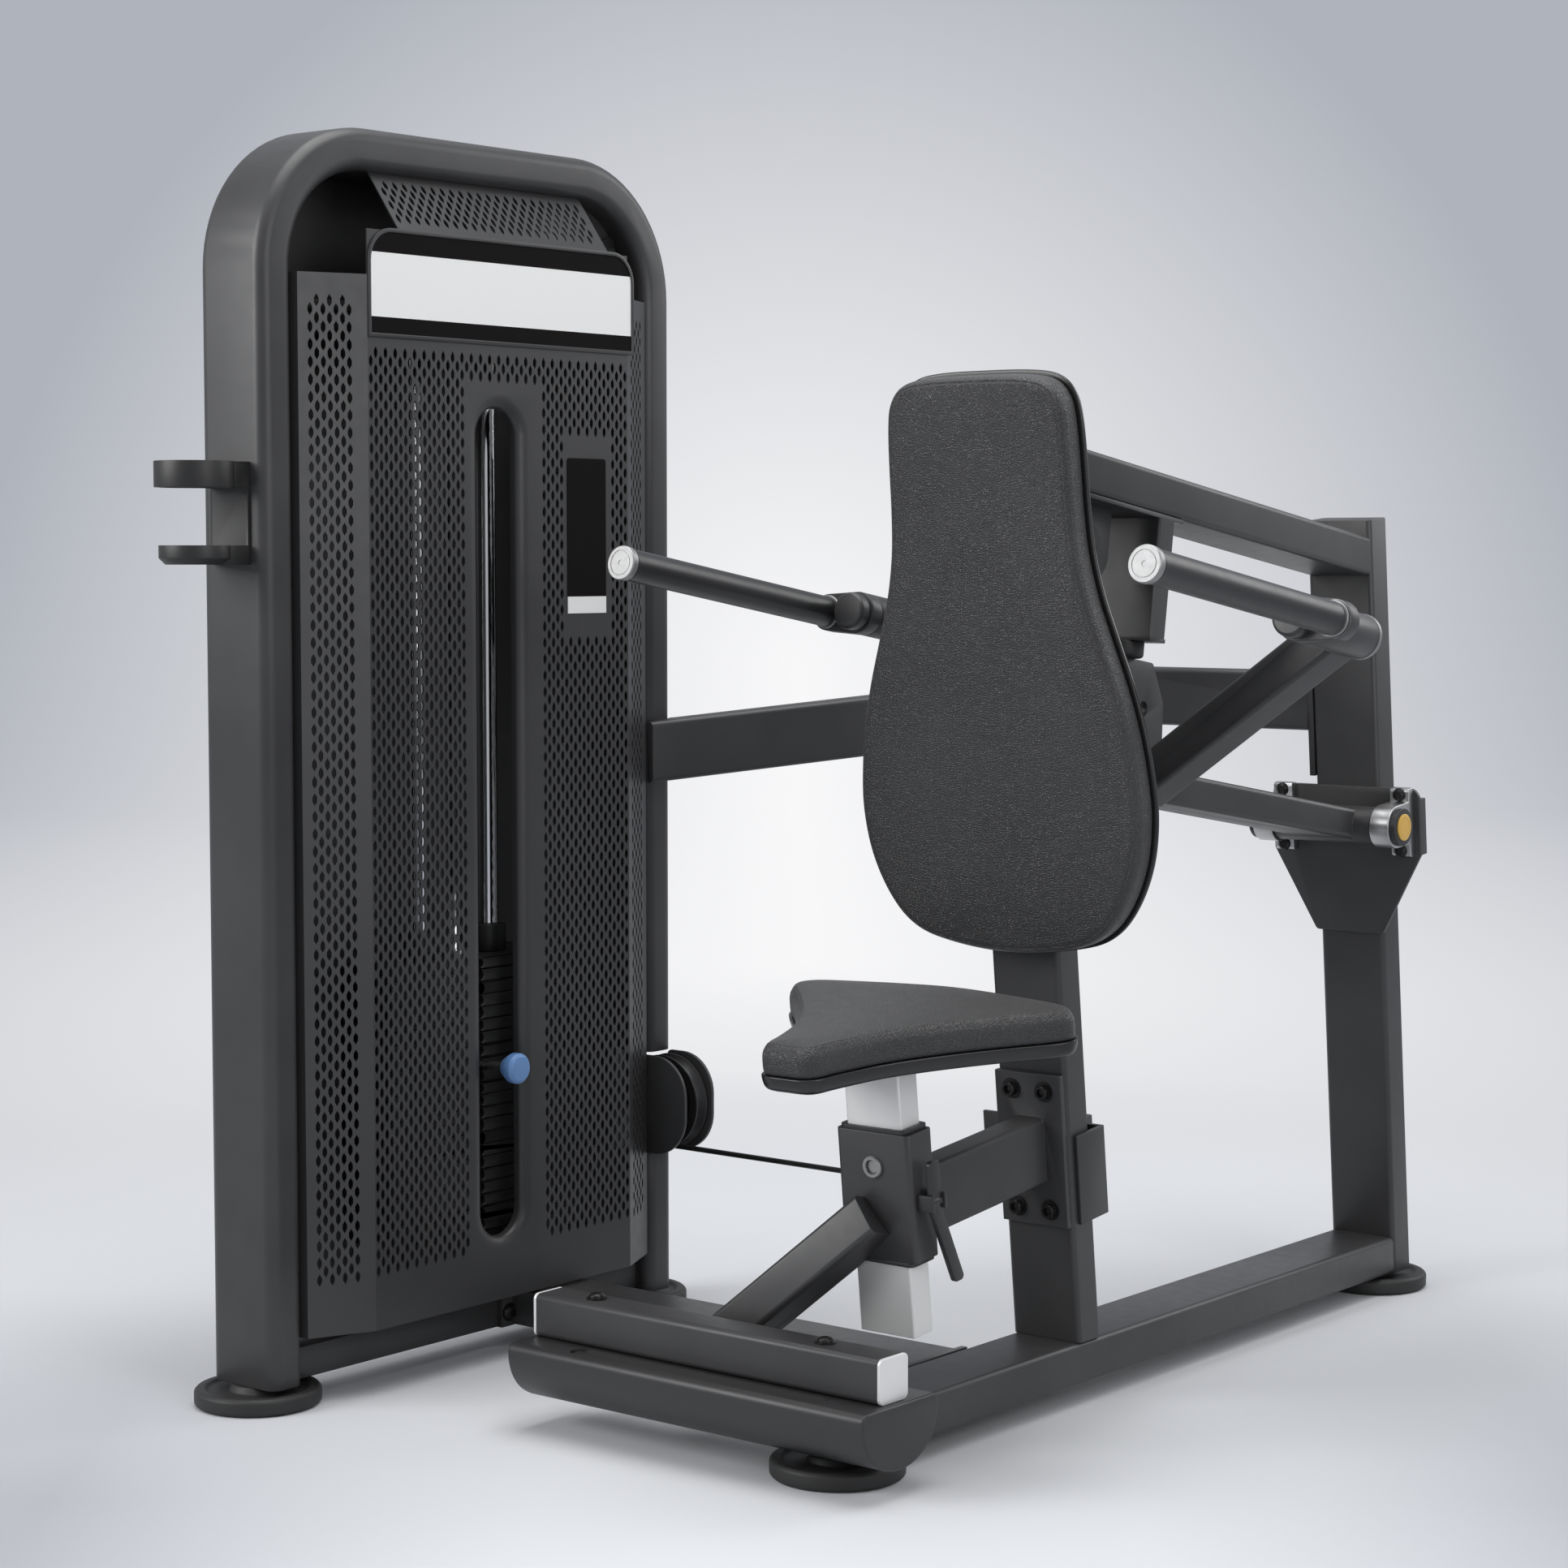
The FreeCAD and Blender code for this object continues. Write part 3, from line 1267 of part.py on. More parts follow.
def stop_lug():
    """The plate on the arm that meets the bumper and carries the cable's fork."""
    face = BEAM.multiply(at(0, 0, -S.beam_depth - S.hanger_drop - S.bumper_height - S.seat_gap))
    into_arm = ARM.inverse().multiply(face)
    centre = bumper_y()
    first = into_arm.multVec(Vector(0, centre + S.bumper_radius * S.lug_run_share, 0))
    last = into_arm.multVec(Vector(0, centre - S.bumper_radius, 0))
    eye = ARM.inverse().multVec(clevis_eye())
    top_up = min(first.z, last.z)
    boss = S.clevis_pin * S.lug_heel_share
    nose, crest, turn = boss * S.lug_nose_share, boss * S.lug_boss_share, boss * S.lug_round_share
    base = S.arm_height / 2 - S.corner_round
    heel = S.lug_wall * S.lug_heel_share
    outline = [
        (-S.arm_length + S.yoke_size, base), (first.y + heel, top_up * S.lug_rise_share, S.corner_round),
        (first.y, first.z, S.corner_round), (last.y, last.z, S.corner_round),
        (eye.y + nose, eye.z + crest, S.corner_round), (eye.y - boss, eye.z + crest, turn),
        (eye.y - boss, eye.z - boss, turn), (-S.yoke_y, -S.yoke_drop), (-S.arm_length + S.yoke_size, -base),
    ]
    hole_y = first.y - S.lug_wall * S.cheek_drop_share
    holes = [
        (eye.y, eye.z, S.clevis_pin + S.run_fit),
        (hole_y, top_up * S.lug_hole_share, S.clevis_pin * S.lug_nose_share),
    ]
    plate = prism("lug_plate", outline, S.lug_wall, ARM.multiply(at(-S.lug_wall / 2, 0, 0, FACING_SIDE)), holes)
    keep("stop_lug", cut("stop_lug", plate, [nodes["arm_tube"], nodes["yoke_bars"]]))


def cable_fork():
    """The forked end of the cable with its pin through the lug."""
    eye = clevis_eye()
    inner = S.lug_wall / 2 + S.seat_gap
    wall = S.bracket_wall
    reach = S.clevis_pin * 2
    height = S.clevis_fork - reach
    cheeks = []
    for name, x in (("left", -inner - wall), ("right", inner)):
        turn = reach * S.fork_round_share
        outline = [
            (-reach, -reach, turn), (reach, -reach, turn),
            (reach, height, S.bracket_wall / 2), (-reach, height, S.bracket_wall / 2),
        ]
        cheeks.append(prism("fork_" + name, outline, wall, at(x, eye.y, eye.z, FACING_SIDE)))
    thick = reach * S.fork_bridge_share
    bridge = box(
        "fork_bridge", (inner + wall) * 2, reach * 2, thick,
        at(-inner - wall, eye.y - reach, eye.z + height - thick))
    stub = cylinder("fork_stub", S.cable_radius * 2, S.clevis_fork - height, at(0, eye.y, eye.z + height))
    pin = cylinder("fork_pin", S.clevis_pin, (inner + wall * 2) * 2, at(-inner - wall * 2, eye.y, eye.z, FACING_SIDE))
    keep("cable_fork", fuse("cable_fork", cheeks + [bridge, stub, pin]))


def handle(side, sign):
    """A swivelling handle: crank, pivot shaft, cap and rubber grip."""
    x = S.swivel_x * sign
    grip_x = (S.swivel_x + S.crank_offset) * sign
    start = S.housing_end + S.seat_gap
    up = S.swivel_up
    left_x, right_x = min(x, grip_x), max(x, grip_x)
    radii = (S.housing_radius, S.crank_nose) if sign > 0 else (S.crank_nose, S.housing_radius)
    boss = cylinder(
        "crank_boss_" + side, S.housing_radius, S.crank_wall,
        ARM.multiply(at(x, -start, up, FACING_FRONT)))
    nose = cylinder(
        "crank_nose_" + side, S.crank_nose, S.crank_wall,
        ARM.multiply(at(grip_x, -start, up, FACING_FRONT)))
    web = prism(
        "crank_web_" + side,
        [(left_x, -radii[0]), (right_x, -radii[1]), (right_x, radii[1]), (left_x, radii[0])],
        S.crank_wall, ARM.multiply(at(0, -start, up, FACING_FRONT)))
    depth = S.housing_end - S.housing_start - S.corner_round * 2
    shaft = cylinder(
        "crank_shaft_" + side, S.swivel_radius, depth,
        ARM.multiply(at(x, -start + depth, up, FACING_FRONT)))
    edge = S.swivel_cap / 6
    cap = turned(
        "crank_cap_" + side,
        [(0, 0), (S.crank_nose - edge / 2, 0), (S.crank_nose, edge / 2), (S.crank_nose, S.swivel_cap - edge),
         (S.crank_nose - edge, S.swivel_cap), (0, S.swivel_cap)],
        ARM.multiply(at(x, -start - S.crank_wall, up, FACING_FRONT)))
    crank = fuse("crank_body_" + side, [boss, nose, web, shaft, cap])
    base = start + S.crank_wall
    length = S.grip_end - base
    cap_start = length - S.grip_cap_wall
    place = ARM.multiply(at(grip_x, -base, up, FACING_FRONT))
    core = [(0, 0), (S.grip_core, 0), (S.grip_core, cap_start), (0, cap_start)]
    collar = [
        (S.grip_core, 0), (S.grip_collar, 0), (S.grip_collar, S.collar_wall), (S.grip_core, S.collar_wall)]
    rubber_edge = S.collar_wall / 2
    rubber = [
        (S.grip_core, S.collar_wall), (S.grip_radius - rubber_edge, S.collar_wall),
        (S.grip_radius, S.collar_wall + rubber_edge), (S.grip_radius, cap_start), (S.grip_core, cap_start),
    ]
    end_edge = S.grip_cap_wall / 4
    end = [
        (0, cap_start), (S.grip_cap, cap_start), (S.grip_cap, length - end_edge),
        (S.grip_cap - end_edge, length), (0, length),
    ]
    keep("grip_" + side, turned("grip_rubber_" + side, rubber, place))
    parts = [turned("grip_core_" + side, core, place), turned("grip_collar_" + side, collar, place),
             turned("grip_end_" + side, end, place)]
    keep("crank_" + side, group("crank_" + side, [crank, fuse("grip_bar_" + side, parts)]))


def bumper_y():
    """The bumper's centre along the upper beam."""
    return S.hanger_along


def bumper_hanger():
    """The bracket under the upper beam with the rubber stop that the arm rests against."""
    centre = bumper_y()
    wall = S.bracket_wall
    half = S.frame_width / 2
    plate = box(
        "hanger_top", S.frame_width, S.hanger_plate, wall,
        BEAM.multiply(at(-half, S.hanger_start, -S.beam_depth - wall)))
    leg_outline = oblong(half, -S.hanger_depth / 2, S.hanger_depth / 2, S.corner_round / 2)
    inner = oblong(half - wall, -S.hanger_depth / 2 + wall, S.hanger_depth / 2 - wall)
    leg = prism(
        "hanger_leg", leg_outline, S.hanger_drop - wall,
        BEAM.multiply(at(0, centre, -S.beam_depth - S.hanger_drop)), inner=inner)
    foot = box(
        "hanger_foot", S.frame_width, S.hanger_depth, wall,
        BEAM.multiply(at(-half, centre - S.hanger_depth / 2, -S.beam_depth - S.hanger_drop)))
    wheel = BEAM.inverse().multVec(upper_place().Base)
    rim = (S.pulley_top + S.pulley_rim) * S.cheek_room_share
    room_half = S.pulley_width / 2 + S.bracket_gap + wall
    room = box(
        "cheek_room", room_half * 2, rim * 2, wall * 3,
        BEAM.multiply(at(-room_half, wheel.y - rim, -S.beam_depth - wall * 2)))
    whole = fuse("hanger_whole", [plate, leg, foot])
    keep("hanger", cut("hanger", whole, [room]))
    place = BEAM.multiply(at(0, centre, -S.beam_depth - S.hanger_drop - S.bumper_height))
    edge = S.bumper_height / 8
    points = [
        (0, 0), (S.bumper_radius - edge, 0), (S.bumper_radius, edge), (S.bumper_radius, S.bumper_height),
        (0, S.bumper_height),
    ]
    keep("bumper", turned("bumper", points, place))



def seat_carrier():
    """The bolted plate, the bar to the sleeve, the sleeve and its front brace."""
    plate = box(
        "carrier_plate", S.column_plate_half * 2, S.column_plate_wall, S.column_plate_height,
        LEAN.multiply(at(-S.column_plate_half, -S.column_plate_wall, S.column_plate_bottom)))
    sleeve_back = -S.post_front + S.post_depth + (S.sleeve_depth - S.post_depth) / 2
    length = -sleeve_back - S.column_plate_wall
    bar = prism(
        "carrier_bar",
        oblong(S.seat_bar_width / 2, 0, S.seat_bar_height, S.corner_round), length,
        LEAN.multiply(at(0, sleeve_back, S.seat_bar_z + S.seat_bar_height, ALONG_Y)))
    keep("seat_bracket", fuse("seat_bracket", [plate, bar]))

    half_wall = (S.sleeve_depth - S.post_depth) / 2
    outer = oblong(S.sleeve_width / 2, -S.post_front - half_wall, sleeve_back, S.corner_round)
    liner_x = S.post_width / 2 + S.liner_wall
    liner_y = S.liner_wall
    hole = oblong(liner_x, -S.post_front - liner_y, -S.post_front + S.post_depth + liner_y)
    keep("post_sleeve", prism(
        "post_sleeve", outer, S.sleeve_height, LEAN.multiply(at(0, 0, S.sleeve_bottom)), inner=hole))

    fit = S.seat_gap
    inner = oblong(S.post_width / 2 + fit, -S.post_front - fit, -S.post_front + S.post_depth + fit)
    liner = prism(
        "liner_tube", hole, S.sleeve_height, LEAN.multiply(at(0, 0, S.sleeve_bottom)), inner=inner)
    lips = []
    rim = oblong(
        S.sleeve_width / 2 - S.liner_lip, -S.post_front - half_wall + S.liner_wall / 2,
        sleeve_back - S.liner_wall / 2, S.corner_round)
    for name, z in (("low", S.sleeve_bottom - S.liner_lip), ("top", S.sleeve_bottom + S.sleeve_height)):
        lips.append(prism("liner_lip_" + name, rim, S.liner_lip, LEAN.multiply(at(0, 0, z)), inner=inner))
    side = S.sleeve_width / 2
    middle = -S.post_front + S.post_depth / 2
    ear_wall = S.lever_wall / 3
    ears = []
    for name, y in (("front", middle - S.lever_width / 2 - S.seat_gap - ear_wall),
                    ("rear", middle + S.lever_width / 2 + S.seat_gap)):
        ears.append(box(
            "lever_ear_" + name, S.lever_wall * S.ear_share, ear_wall, S.lever_width,
            LEAN.multiply(at(side, y, S.lever_z - S.lever_width / 2))))
    pin_length = S.lever_width + (S.seat_gap + ear_wall) * 2
    pin = cylinder(
        "lever_pin", S.lever_pin, pin_length,
        LEAN.multiply(at(side + S.lever_wall, middle + pin_length / 2, S.lever_z, FACING_FRONT)))
    ring_z = S.sleeve_bottom + S.sleeve_height * S.ring_height_share
    ring = turned(
        "window_ring",
        [(S.lever_wall / 2, 0), (S.lever_wall * S.ring_outer_share, 0),
         (S.lever_wall * S.ring_crown_share, S.liner_wall), (S.lever_wall / 2, S.liner_wall)],
        LEAN.multiply(at(0, -S.post_front - half_wall, ring_z, FACING_FRONT)))
    keep("sleeve_trim", group(
        "sleeve_trim", [fuse("liner_whole", [liner] + lips), ring, fuse("lever_ears", ears + [pin])]))
    lever(side, middle)
    brace(half_wall)


def lever(side, middle):
    """The release lever beside the sleeve, a slim bar that rocks on a pin between two ears."""
    half = S.lever_width / 2
    turn = S.lever_width * S.lever_round_share
    outline = [
        (half, S.lever_up, turn), (-half, S.lever_up, turn), (-half, -half),
        (S.lever_width * S.lever_tip_share, -S.lever_down, turn),
        (S.lever_width * S.lever_heel_share, -S.lever_down, turn), (half, -half),
    ]
    wall = S.lever_wall / 2
    bar = prism(
        "lever_bar", outline, wall,
        LEAN.multiply(at(side + S.lever_wall - wall / 2, middle, S.lever_z, FACING_SIDE)))
    place = LEAN.multiply(at(side + S.lever_wall, middle + half, S.lever_z, FACING_FRONT))
    boss = cylinder("lever_boss", S.lever_pin * S.lever_boss_share, S.lever_width, place)
    bore = cylinder("lever_bore", S.lever_pin + S.run_fit, S.lever_width, place)
    keep("seat_lever", cut("seat_lever", fuse("lever_whole", [bar, boss]), [bore]))


def brace(half_wall):
    """The square strut from the sleeve's front face down to the front housing."""
    size = S.brace_size
    top = LEAN.multVec(Vector(0, -S.post_front - half_wall, S.sleeve_bottom + size))
    foot = Vector(
        -S.rest_left * S.brace_foot_share, S.housing_back * S.brace_back_share, S.housing_top - size / 2)
    line = foot - top
    place = Placement(top, Rotation(X_AXIS, Vector(0, 0, 0), line, "ZXY"))
    strut = prism("brace_bar", oblong(size / 2, -size / 2, size / 2, S.corner_round), line.Length, place)
    sleeve_side = box(
        "sleeve_side", S.sleeve_width * 4, S.sleeve_width * 4, S.sleeve_height * 3,
        LEAN.multiply(at(-S.sleeve_width * 2, -S.post_front - half_wall, S.sleeve_bottom - S.sleeve_height)))
    keep("seat_brace", cut("seat_brace", strut, [sleeve_side, nodes["front_housing"]]))


def seat_post():
    place = LEAN.multiply(at(0, 0, S.post_bottom))
    outline = oblong(S.post_width / 2, -S.post_front, -S.post_front + S.post_depth, S.corner_round / 2)
    post = prism("seat_post", outline, S.pan_bottom - S.post_bottom, place)
    keep("seat_post", post)


def seat_outline():
    """Half widths along the seat, from the nose to the rear."""
    length = S.seat_front - S.seat_rear
    points = []
    for along, across in zip(SEAT_LENGTH_SHARES, SEAT_WIDTH_SHARES):
        y = -S.seat_front + length * along
        points.append((S.seat_half * across, y))
    return points


def ring_wire(half_points, z, grow, middle_y):
    """A closed outline through mirrored points, drawn in or let out by a margin."""
    right = []
    for x, y in half_points:
        sign = 1 if float(y) > middle_y else -1
        reach = abs(float(y) - middle_y)
        scale = max(0.0, reach + grow) / reach if reach > 1e-6 else 1.0
        right.append(Vector(max(1.0, float(x) + grow), middle_y + sign * reach * scale, z))
    left = [Vector(-point.x, point.y, point.z) for point in reversed(right)]
    return Part.makePolygon(right + left + [right[0]])


def stacked(half_points, levels, middle_y):
    """A loft through outlines; levels gives each outline's height and margin."""
    wires = [ring_wire(half_points, float(z), float(grow), middle_y) for z, grow in levels]
    return Part.makeLoft(wires, True, True)


def seat_and_back():
    middle = -(float(S.seat_front) + float(S.seat_rear)) / 2
    points = seat_outline()
    edge = float(S.shell_margin)
    z0 = float(S.pan_bottom)
    z1 = z0 + float(S.pan_height)
    z2 = z1 + float(S.pad_height)
    pan = stacked(points, [(z0, -edge * 2), (z0 + edge / 2, 0), (z1, edge)], middle)
    keep("seat_pan", formed("seat_pan", pan, LEAN))
    drawn = float(S.pad_height) * S.seat_side_share
    pad = stacked(points, [
        (z1, edge * S.seam_low_share), (z1 + drawn, edge * S.seam_high_share), (z2 - drawn, 0),
        (z2 - drawn * S.seat_edge_share, -edge * S.seat_crown_share), (z2, -edge * 4)], middle)
    keep("seat_pad", formed("seat_pad", pad, LEAN))

    length = S.back_top - S.back_bottom
    points = []
    for along, across in zip(PAD_LENGTH_SHARES, PAD_WIDTH_SHARES):
        points.append((S.back_half * across, S.back_bottom + length * along))
    middle = (float(S.back_bottom) + float(S.back_top)) / 2
    turn = Rotation(X_AXIS, 90)
    place = LEAN.multiply(at(0, 0, 0, turn))
    front = float(S.back_shell_wall)
    shell = stacked(points, [(0, -edge), (front * S.back_edge_share, edge), (front, edge)], middle)
    keep("back_shell", formed("back_shell", shell, place))
    wall = float(S.back_pad_wall)
    drawn = wall * S.back_side_share
    pad = stacked(points, [
        (front, edge * S.back_seam_share), (front + drawn, edge * S.back_rise_share), (front + wall - drawn, 0),
        (front + wall - drawn * S.back_edge_share, -edge * S.back_crown_share), (front + wall, -edge * 3)], middle)
    keep("back_pad", formed("back_pad", pad, place))



def foot_rest():
    """The round-bottomed front cover with its grooved top, and the foot rest tube bolted on it."""
    depth = S.housing_front + S.housing_back
    height = S.housing_top - S.housing_bottom
    side = S.housing_top - height * S.cover_side_share
    turn = depth * S.cover_round_share
    inward = depth * S.cover_foot_share
    outline = [
        (-S.housing_front, S.housing_top, S.corner_round), (-S.housing_front, side, turn),
        (-S.housing_front + inward, S.housing_bottom, turn), (S.housing_back - inward, S.housing_bottom, turn),
        (S.housing_back, side, turn), (S.housing_back, S.housing_top, S.corner_round),
    ]
    place = at(-S.housing_left, 0, 0, FACING_SIDE)
    body = prism("housing_body", outline, S.housing_left + S.housing_right, place)
    panel_half = S.panel_depth / 2
    low, high = -S.panel_right, S.panel_left
    middle = -S.housing_front + S.panel_set + panel_half
    end = panel_half * S.full_round_share
    panel = [
        (-high, middle - panel_half, end), (-low, middle - panel_half, end),
        (-low, middle + panel_half, end), (-high, middle + panel_half, end),
    ]
    recess = prism("housing_panel", panel, S.panel_sink * 2, at(0, 0, S.housing_top - S.panel_sink))
    keep("front_housing", cut("front_housing", body, [nodes["base_rail"], recess]))
    size = S.rest_size
    outline = oblong(size / 2, 0, size, S.corner_round)
    y = -S.rest_back - size / 2
    tube_place = at(-S.rest_left + S.end_plate, y, S.housing_top, FACING_SIDE)
    keep("foot_rest", prism("foot_rest", outline, S.rest_left + S.rest_right - S.end_plate * 2, tube_place))
    ends = []
    for name, x in (("left", -S.rest_left), ("right", S.rest_right - S.end_plate)):
        ends.append(prism("rest_end_" + name, outline, S.end_plate, at(x, y, S.housing_top, FACING_SIDE)))
    keep("foot_rest_ends", group("foot_rest_ends", ends))


def cross_tube():
    """The floor tube from the base rail to the tower's sill, with its end plates."""
    inner = S.frame_width / 2
    outer = S.sill_x - S.sill_width / 2
    wall = S.cross_wall
    tube = prism(
        "cross_bar", oblong(S.frame_width / 2, 0, S.rail_height, S.corner_round), outer - inner - wall * 2,
        at(-outer + wall, S.cross_y, S.foot_height, FACING_SIDE))
    half = S.cross_plate / 2
    near = box("cross_near", wall, S.cross_plate, S.rail_height, at(-inner - wall, S.cross_y - half, S.foot_height))
    far_height = S.sill_lift + S.sill_height - S.foot_height
    far = box(
        "cross_far", wall, S.cross_far_plate, far_height,
        at(-outer, S.cross_y - S.cross_far_plate / 2, S.foot_height))
    keep("cross_tube", fuse("cross_tube", [near, tube, far]))


def rear_tie():
    """The high tie from the tower's rear leg to the rear upright: a side bar mitred to a cross bar."""
    width = S.tie_width
    height = S.tie_height
    leg_x = -float(S.tower_x) + float(S.tower_width) / 2
    start = Vector(leg_x, float(S.tie_side_y), float(S.tie_side_z))
    corner = Vector(-float(S.tie_corner_x), float(S.tie_face_y) + float(width) / 2, float(S.tie_corner_z))
    line = (corner - start)
    flat = Vector(line.x, line.y, 0).normalize()
    across = Z_AXIS.cross(flat)
    length = line.Length + float(S.overrun) * 2
    along = Vector(line).normalize()
    turn = Rotation(across, Vector(0, 0, 0), along, "ZXY")
    section = oblong(width / 2, -height / 2, height / 2, S.corner_round)
    side = prism("tie_side", section, length, Placement(start - along * float(S.overrun), turn))
    lateral = prism(
        "tie_cross", section, S.tie_corner_x + S.overrun,
        at(-S.tie_corner_x - S.overrun, corner.y, corner.z, FACING_SIDE))
    # the mitre plane halves the corner between the two bars
    bisector = (flat + X_AXIS).normalize()
    normal_turn = Rotation(Z_AXIS, bisector)
    reach = S.tie_height * 4
    after = box("tie_after", reach, reach, reach, Placement(corner, normal_turn).multiply(at(-reach / 2, -reach / 2, 0)))
    before = box(
        "tie_before", reach, reach, reach, Placement(corner, normal_turn).multiply(at(-reach / 2, -reach / 2, -reach)))
    plate_wall = S.cross_wall
    leg_side = box(
        "leg_side", S.tower_width, S.leg_rear, S.tie_height * 3,
        at(leg_x - S.tower_width, 0, S.tie_side_z - S.tie_height * 1.5))
    upright_x = -S.frame_width / 2
    upright_near = box(
        "upright_near", S.frame_width, S.tie_height * 3, S.tie_height * 4,
        at(upright_x - plate_wall, corner.y - S.tie_height, S.tie_side_z - S.tie_height))
    guard_room = box(
        "guard_room", S.tower_x, S.leg_rear - S.leg_depth, S.tie_height * 3,
        at(-S.tower_x, 0, S.tie_side_z - S.tie_height * 1.5))
    side = cut("tie_side_cut", side, [after, leg_side, guard_room])
    lateral = cut("tie_cross_cut", lateral, [before, upright_near])
    local = BACK.inverse().multVec(Vector(0, corner.y, float(S.tie_side_z)))
    plate = box(
        "tie_plate", plate_wall, S.upright_depth, S.tie_plate_height,
        BACK.multiply(at(upright_x - plate_wall, 0, local.z - S.tie_height / 2)))
    keep("rear_tie", fuse("rear_tie", [side, lateral, plate]))


def bolts():
    """Dome-head bolts, one master for every place."""
    head = S.bolt_head
    points = [
        (0, 0), (head, 0), (head * S.bolt_crown_share, S.bolt_height * S.bolt_shoulder_share),
        (head * S.bolt_top_share, S.bolt_height * S.bolt_rise_share), (0, S.bolt_height),
    ]
    master = turned("bolt_master", points, at(0, 0, 0))
    side = Rotation(Y_AXIS, 90)
    places = []
    rest_top = S.housing_top + S.rest_size
    for x in (-S.rest_left * S.rest_bolt_left_share, S.rest_right * S.rest_bolt_right_share):
        places.append(at(x, -S.rest_back - S.rest_size / 2, rest_top))
    for x in (-S.column_plate_half / 2, S.column_plate_half / 2):
        for share in (S.plate_bolt_low_share, S.plate_bolt_high_share):
            z = S.column_plate_bottom + S.column_plate_height * share
            places.append(LEAN.multiply(at(x, -S.column_plate_wall, z, FACING_FRONT)))
    outer = S.sill_x - S.sill_width / 2
    reach = S.cross_far_plate / 2 - S.bolt_head * S.bolt_margin_share
    for y in (S.cross_y - reach, S.cross_y + reach):
        places.append(at(-outer + S.cross_wall, y, S.foot_height + S.bolt_head * 2, side))
    centre = pivot_local()
    foot_y = -S.gusset_wall - S.block_foot
    rise = (S.block_height + S.block_nose * 2) / 4 + S.seat_gap * 2
    middle = (S.hub_length + S.block_width) / 2 + S.block_gap
    for x in (-middle, middle):
        for z in (centre.z - rise, centre.z + rise):
            places.append(BACK.multiply(at(x, foot_y, z, FACING_FRONT)))
    keep("frame_bolts", repeat("frame_bolts", master, places))


foot_disc()
main_frame()
gusset()
bearing_blocks()
tower()
rods_and_cushions()
weight_stack()
selector_pin()
shroud()
plain_plates()
cup_holder()
pulleys()
pulley_brackets()
cables()
press_arm()
cable_fork()
handle("right", 1)
handle("left", -1)
bumper_hanger()
foot_rest()
seat_carrier()
seat_post()
seat_and_back()
cross_tube()
rear_tie()
bolts()

doc.recompute()
for item in doc.Objects:
    if "Invalid" in item.State or "Error" in item.State:
        raise RuntimeError("%s (%s) did not recompute: %s" % (item.Name, item.Label, item.State))
for label, part in nodes.items():
    if part.Shape.isNull() or not part.Shape.isValid():
        raise RuntimeError("%s has no valid shape" % label)

os.makedirs("parts", exist_ok=True)
for label, part in nodes.items():
    part.Shape.exportStep("parts/%s.step" % label)
print("%d nodes" % len(nodes))
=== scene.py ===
import json
import math

import bmesh
import bpy
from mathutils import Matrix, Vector, kdtree

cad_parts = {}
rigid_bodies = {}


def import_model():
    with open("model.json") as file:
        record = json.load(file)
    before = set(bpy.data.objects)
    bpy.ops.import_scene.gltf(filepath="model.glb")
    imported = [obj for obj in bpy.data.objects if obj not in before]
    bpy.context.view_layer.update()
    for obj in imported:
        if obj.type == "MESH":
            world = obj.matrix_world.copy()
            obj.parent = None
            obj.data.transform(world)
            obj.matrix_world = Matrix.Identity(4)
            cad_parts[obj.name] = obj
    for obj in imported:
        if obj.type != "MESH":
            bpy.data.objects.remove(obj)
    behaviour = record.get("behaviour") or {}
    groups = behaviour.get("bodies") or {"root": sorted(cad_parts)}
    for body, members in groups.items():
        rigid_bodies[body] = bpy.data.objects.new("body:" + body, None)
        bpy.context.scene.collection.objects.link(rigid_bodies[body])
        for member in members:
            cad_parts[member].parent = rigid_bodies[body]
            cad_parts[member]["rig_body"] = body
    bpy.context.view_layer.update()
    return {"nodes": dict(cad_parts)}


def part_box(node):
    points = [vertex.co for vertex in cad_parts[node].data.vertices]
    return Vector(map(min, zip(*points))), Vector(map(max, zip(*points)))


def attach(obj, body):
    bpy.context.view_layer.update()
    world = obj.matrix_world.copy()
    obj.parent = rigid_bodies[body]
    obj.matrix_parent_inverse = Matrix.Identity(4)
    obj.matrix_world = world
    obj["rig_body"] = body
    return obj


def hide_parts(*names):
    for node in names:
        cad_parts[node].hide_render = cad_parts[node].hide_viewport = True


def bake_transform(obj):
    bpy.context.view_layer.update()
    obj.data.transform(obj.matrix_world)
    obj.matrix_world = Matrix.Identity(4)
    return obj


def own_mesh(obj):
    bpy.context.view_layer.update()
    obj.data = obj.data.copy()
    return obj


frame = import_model()

# The camera stands in front and to the right of the machine, at the photograph's viewing angle.
# The room is a pale floor that rises into a pale wall, lit by large soft lamps.
EYE = (2.139, -2.7475, 1.0)
LENS_MM = 74.54
EYE_TURN = (85.981, 0.0, 38.865)

bpy.ops.object.camera_add(location=EYE, rotation=[math.radians(angle) for angle in EYE_TURN])
camera = bpy.context.object
camera.data.lens = LENS_MM
camera.data.sensor_width = 36.0
camera.data.clip_end = 60.0
bpy.context.scene.camera = camera
bpy.context.scene.view_settings.view_transform = "Standard"


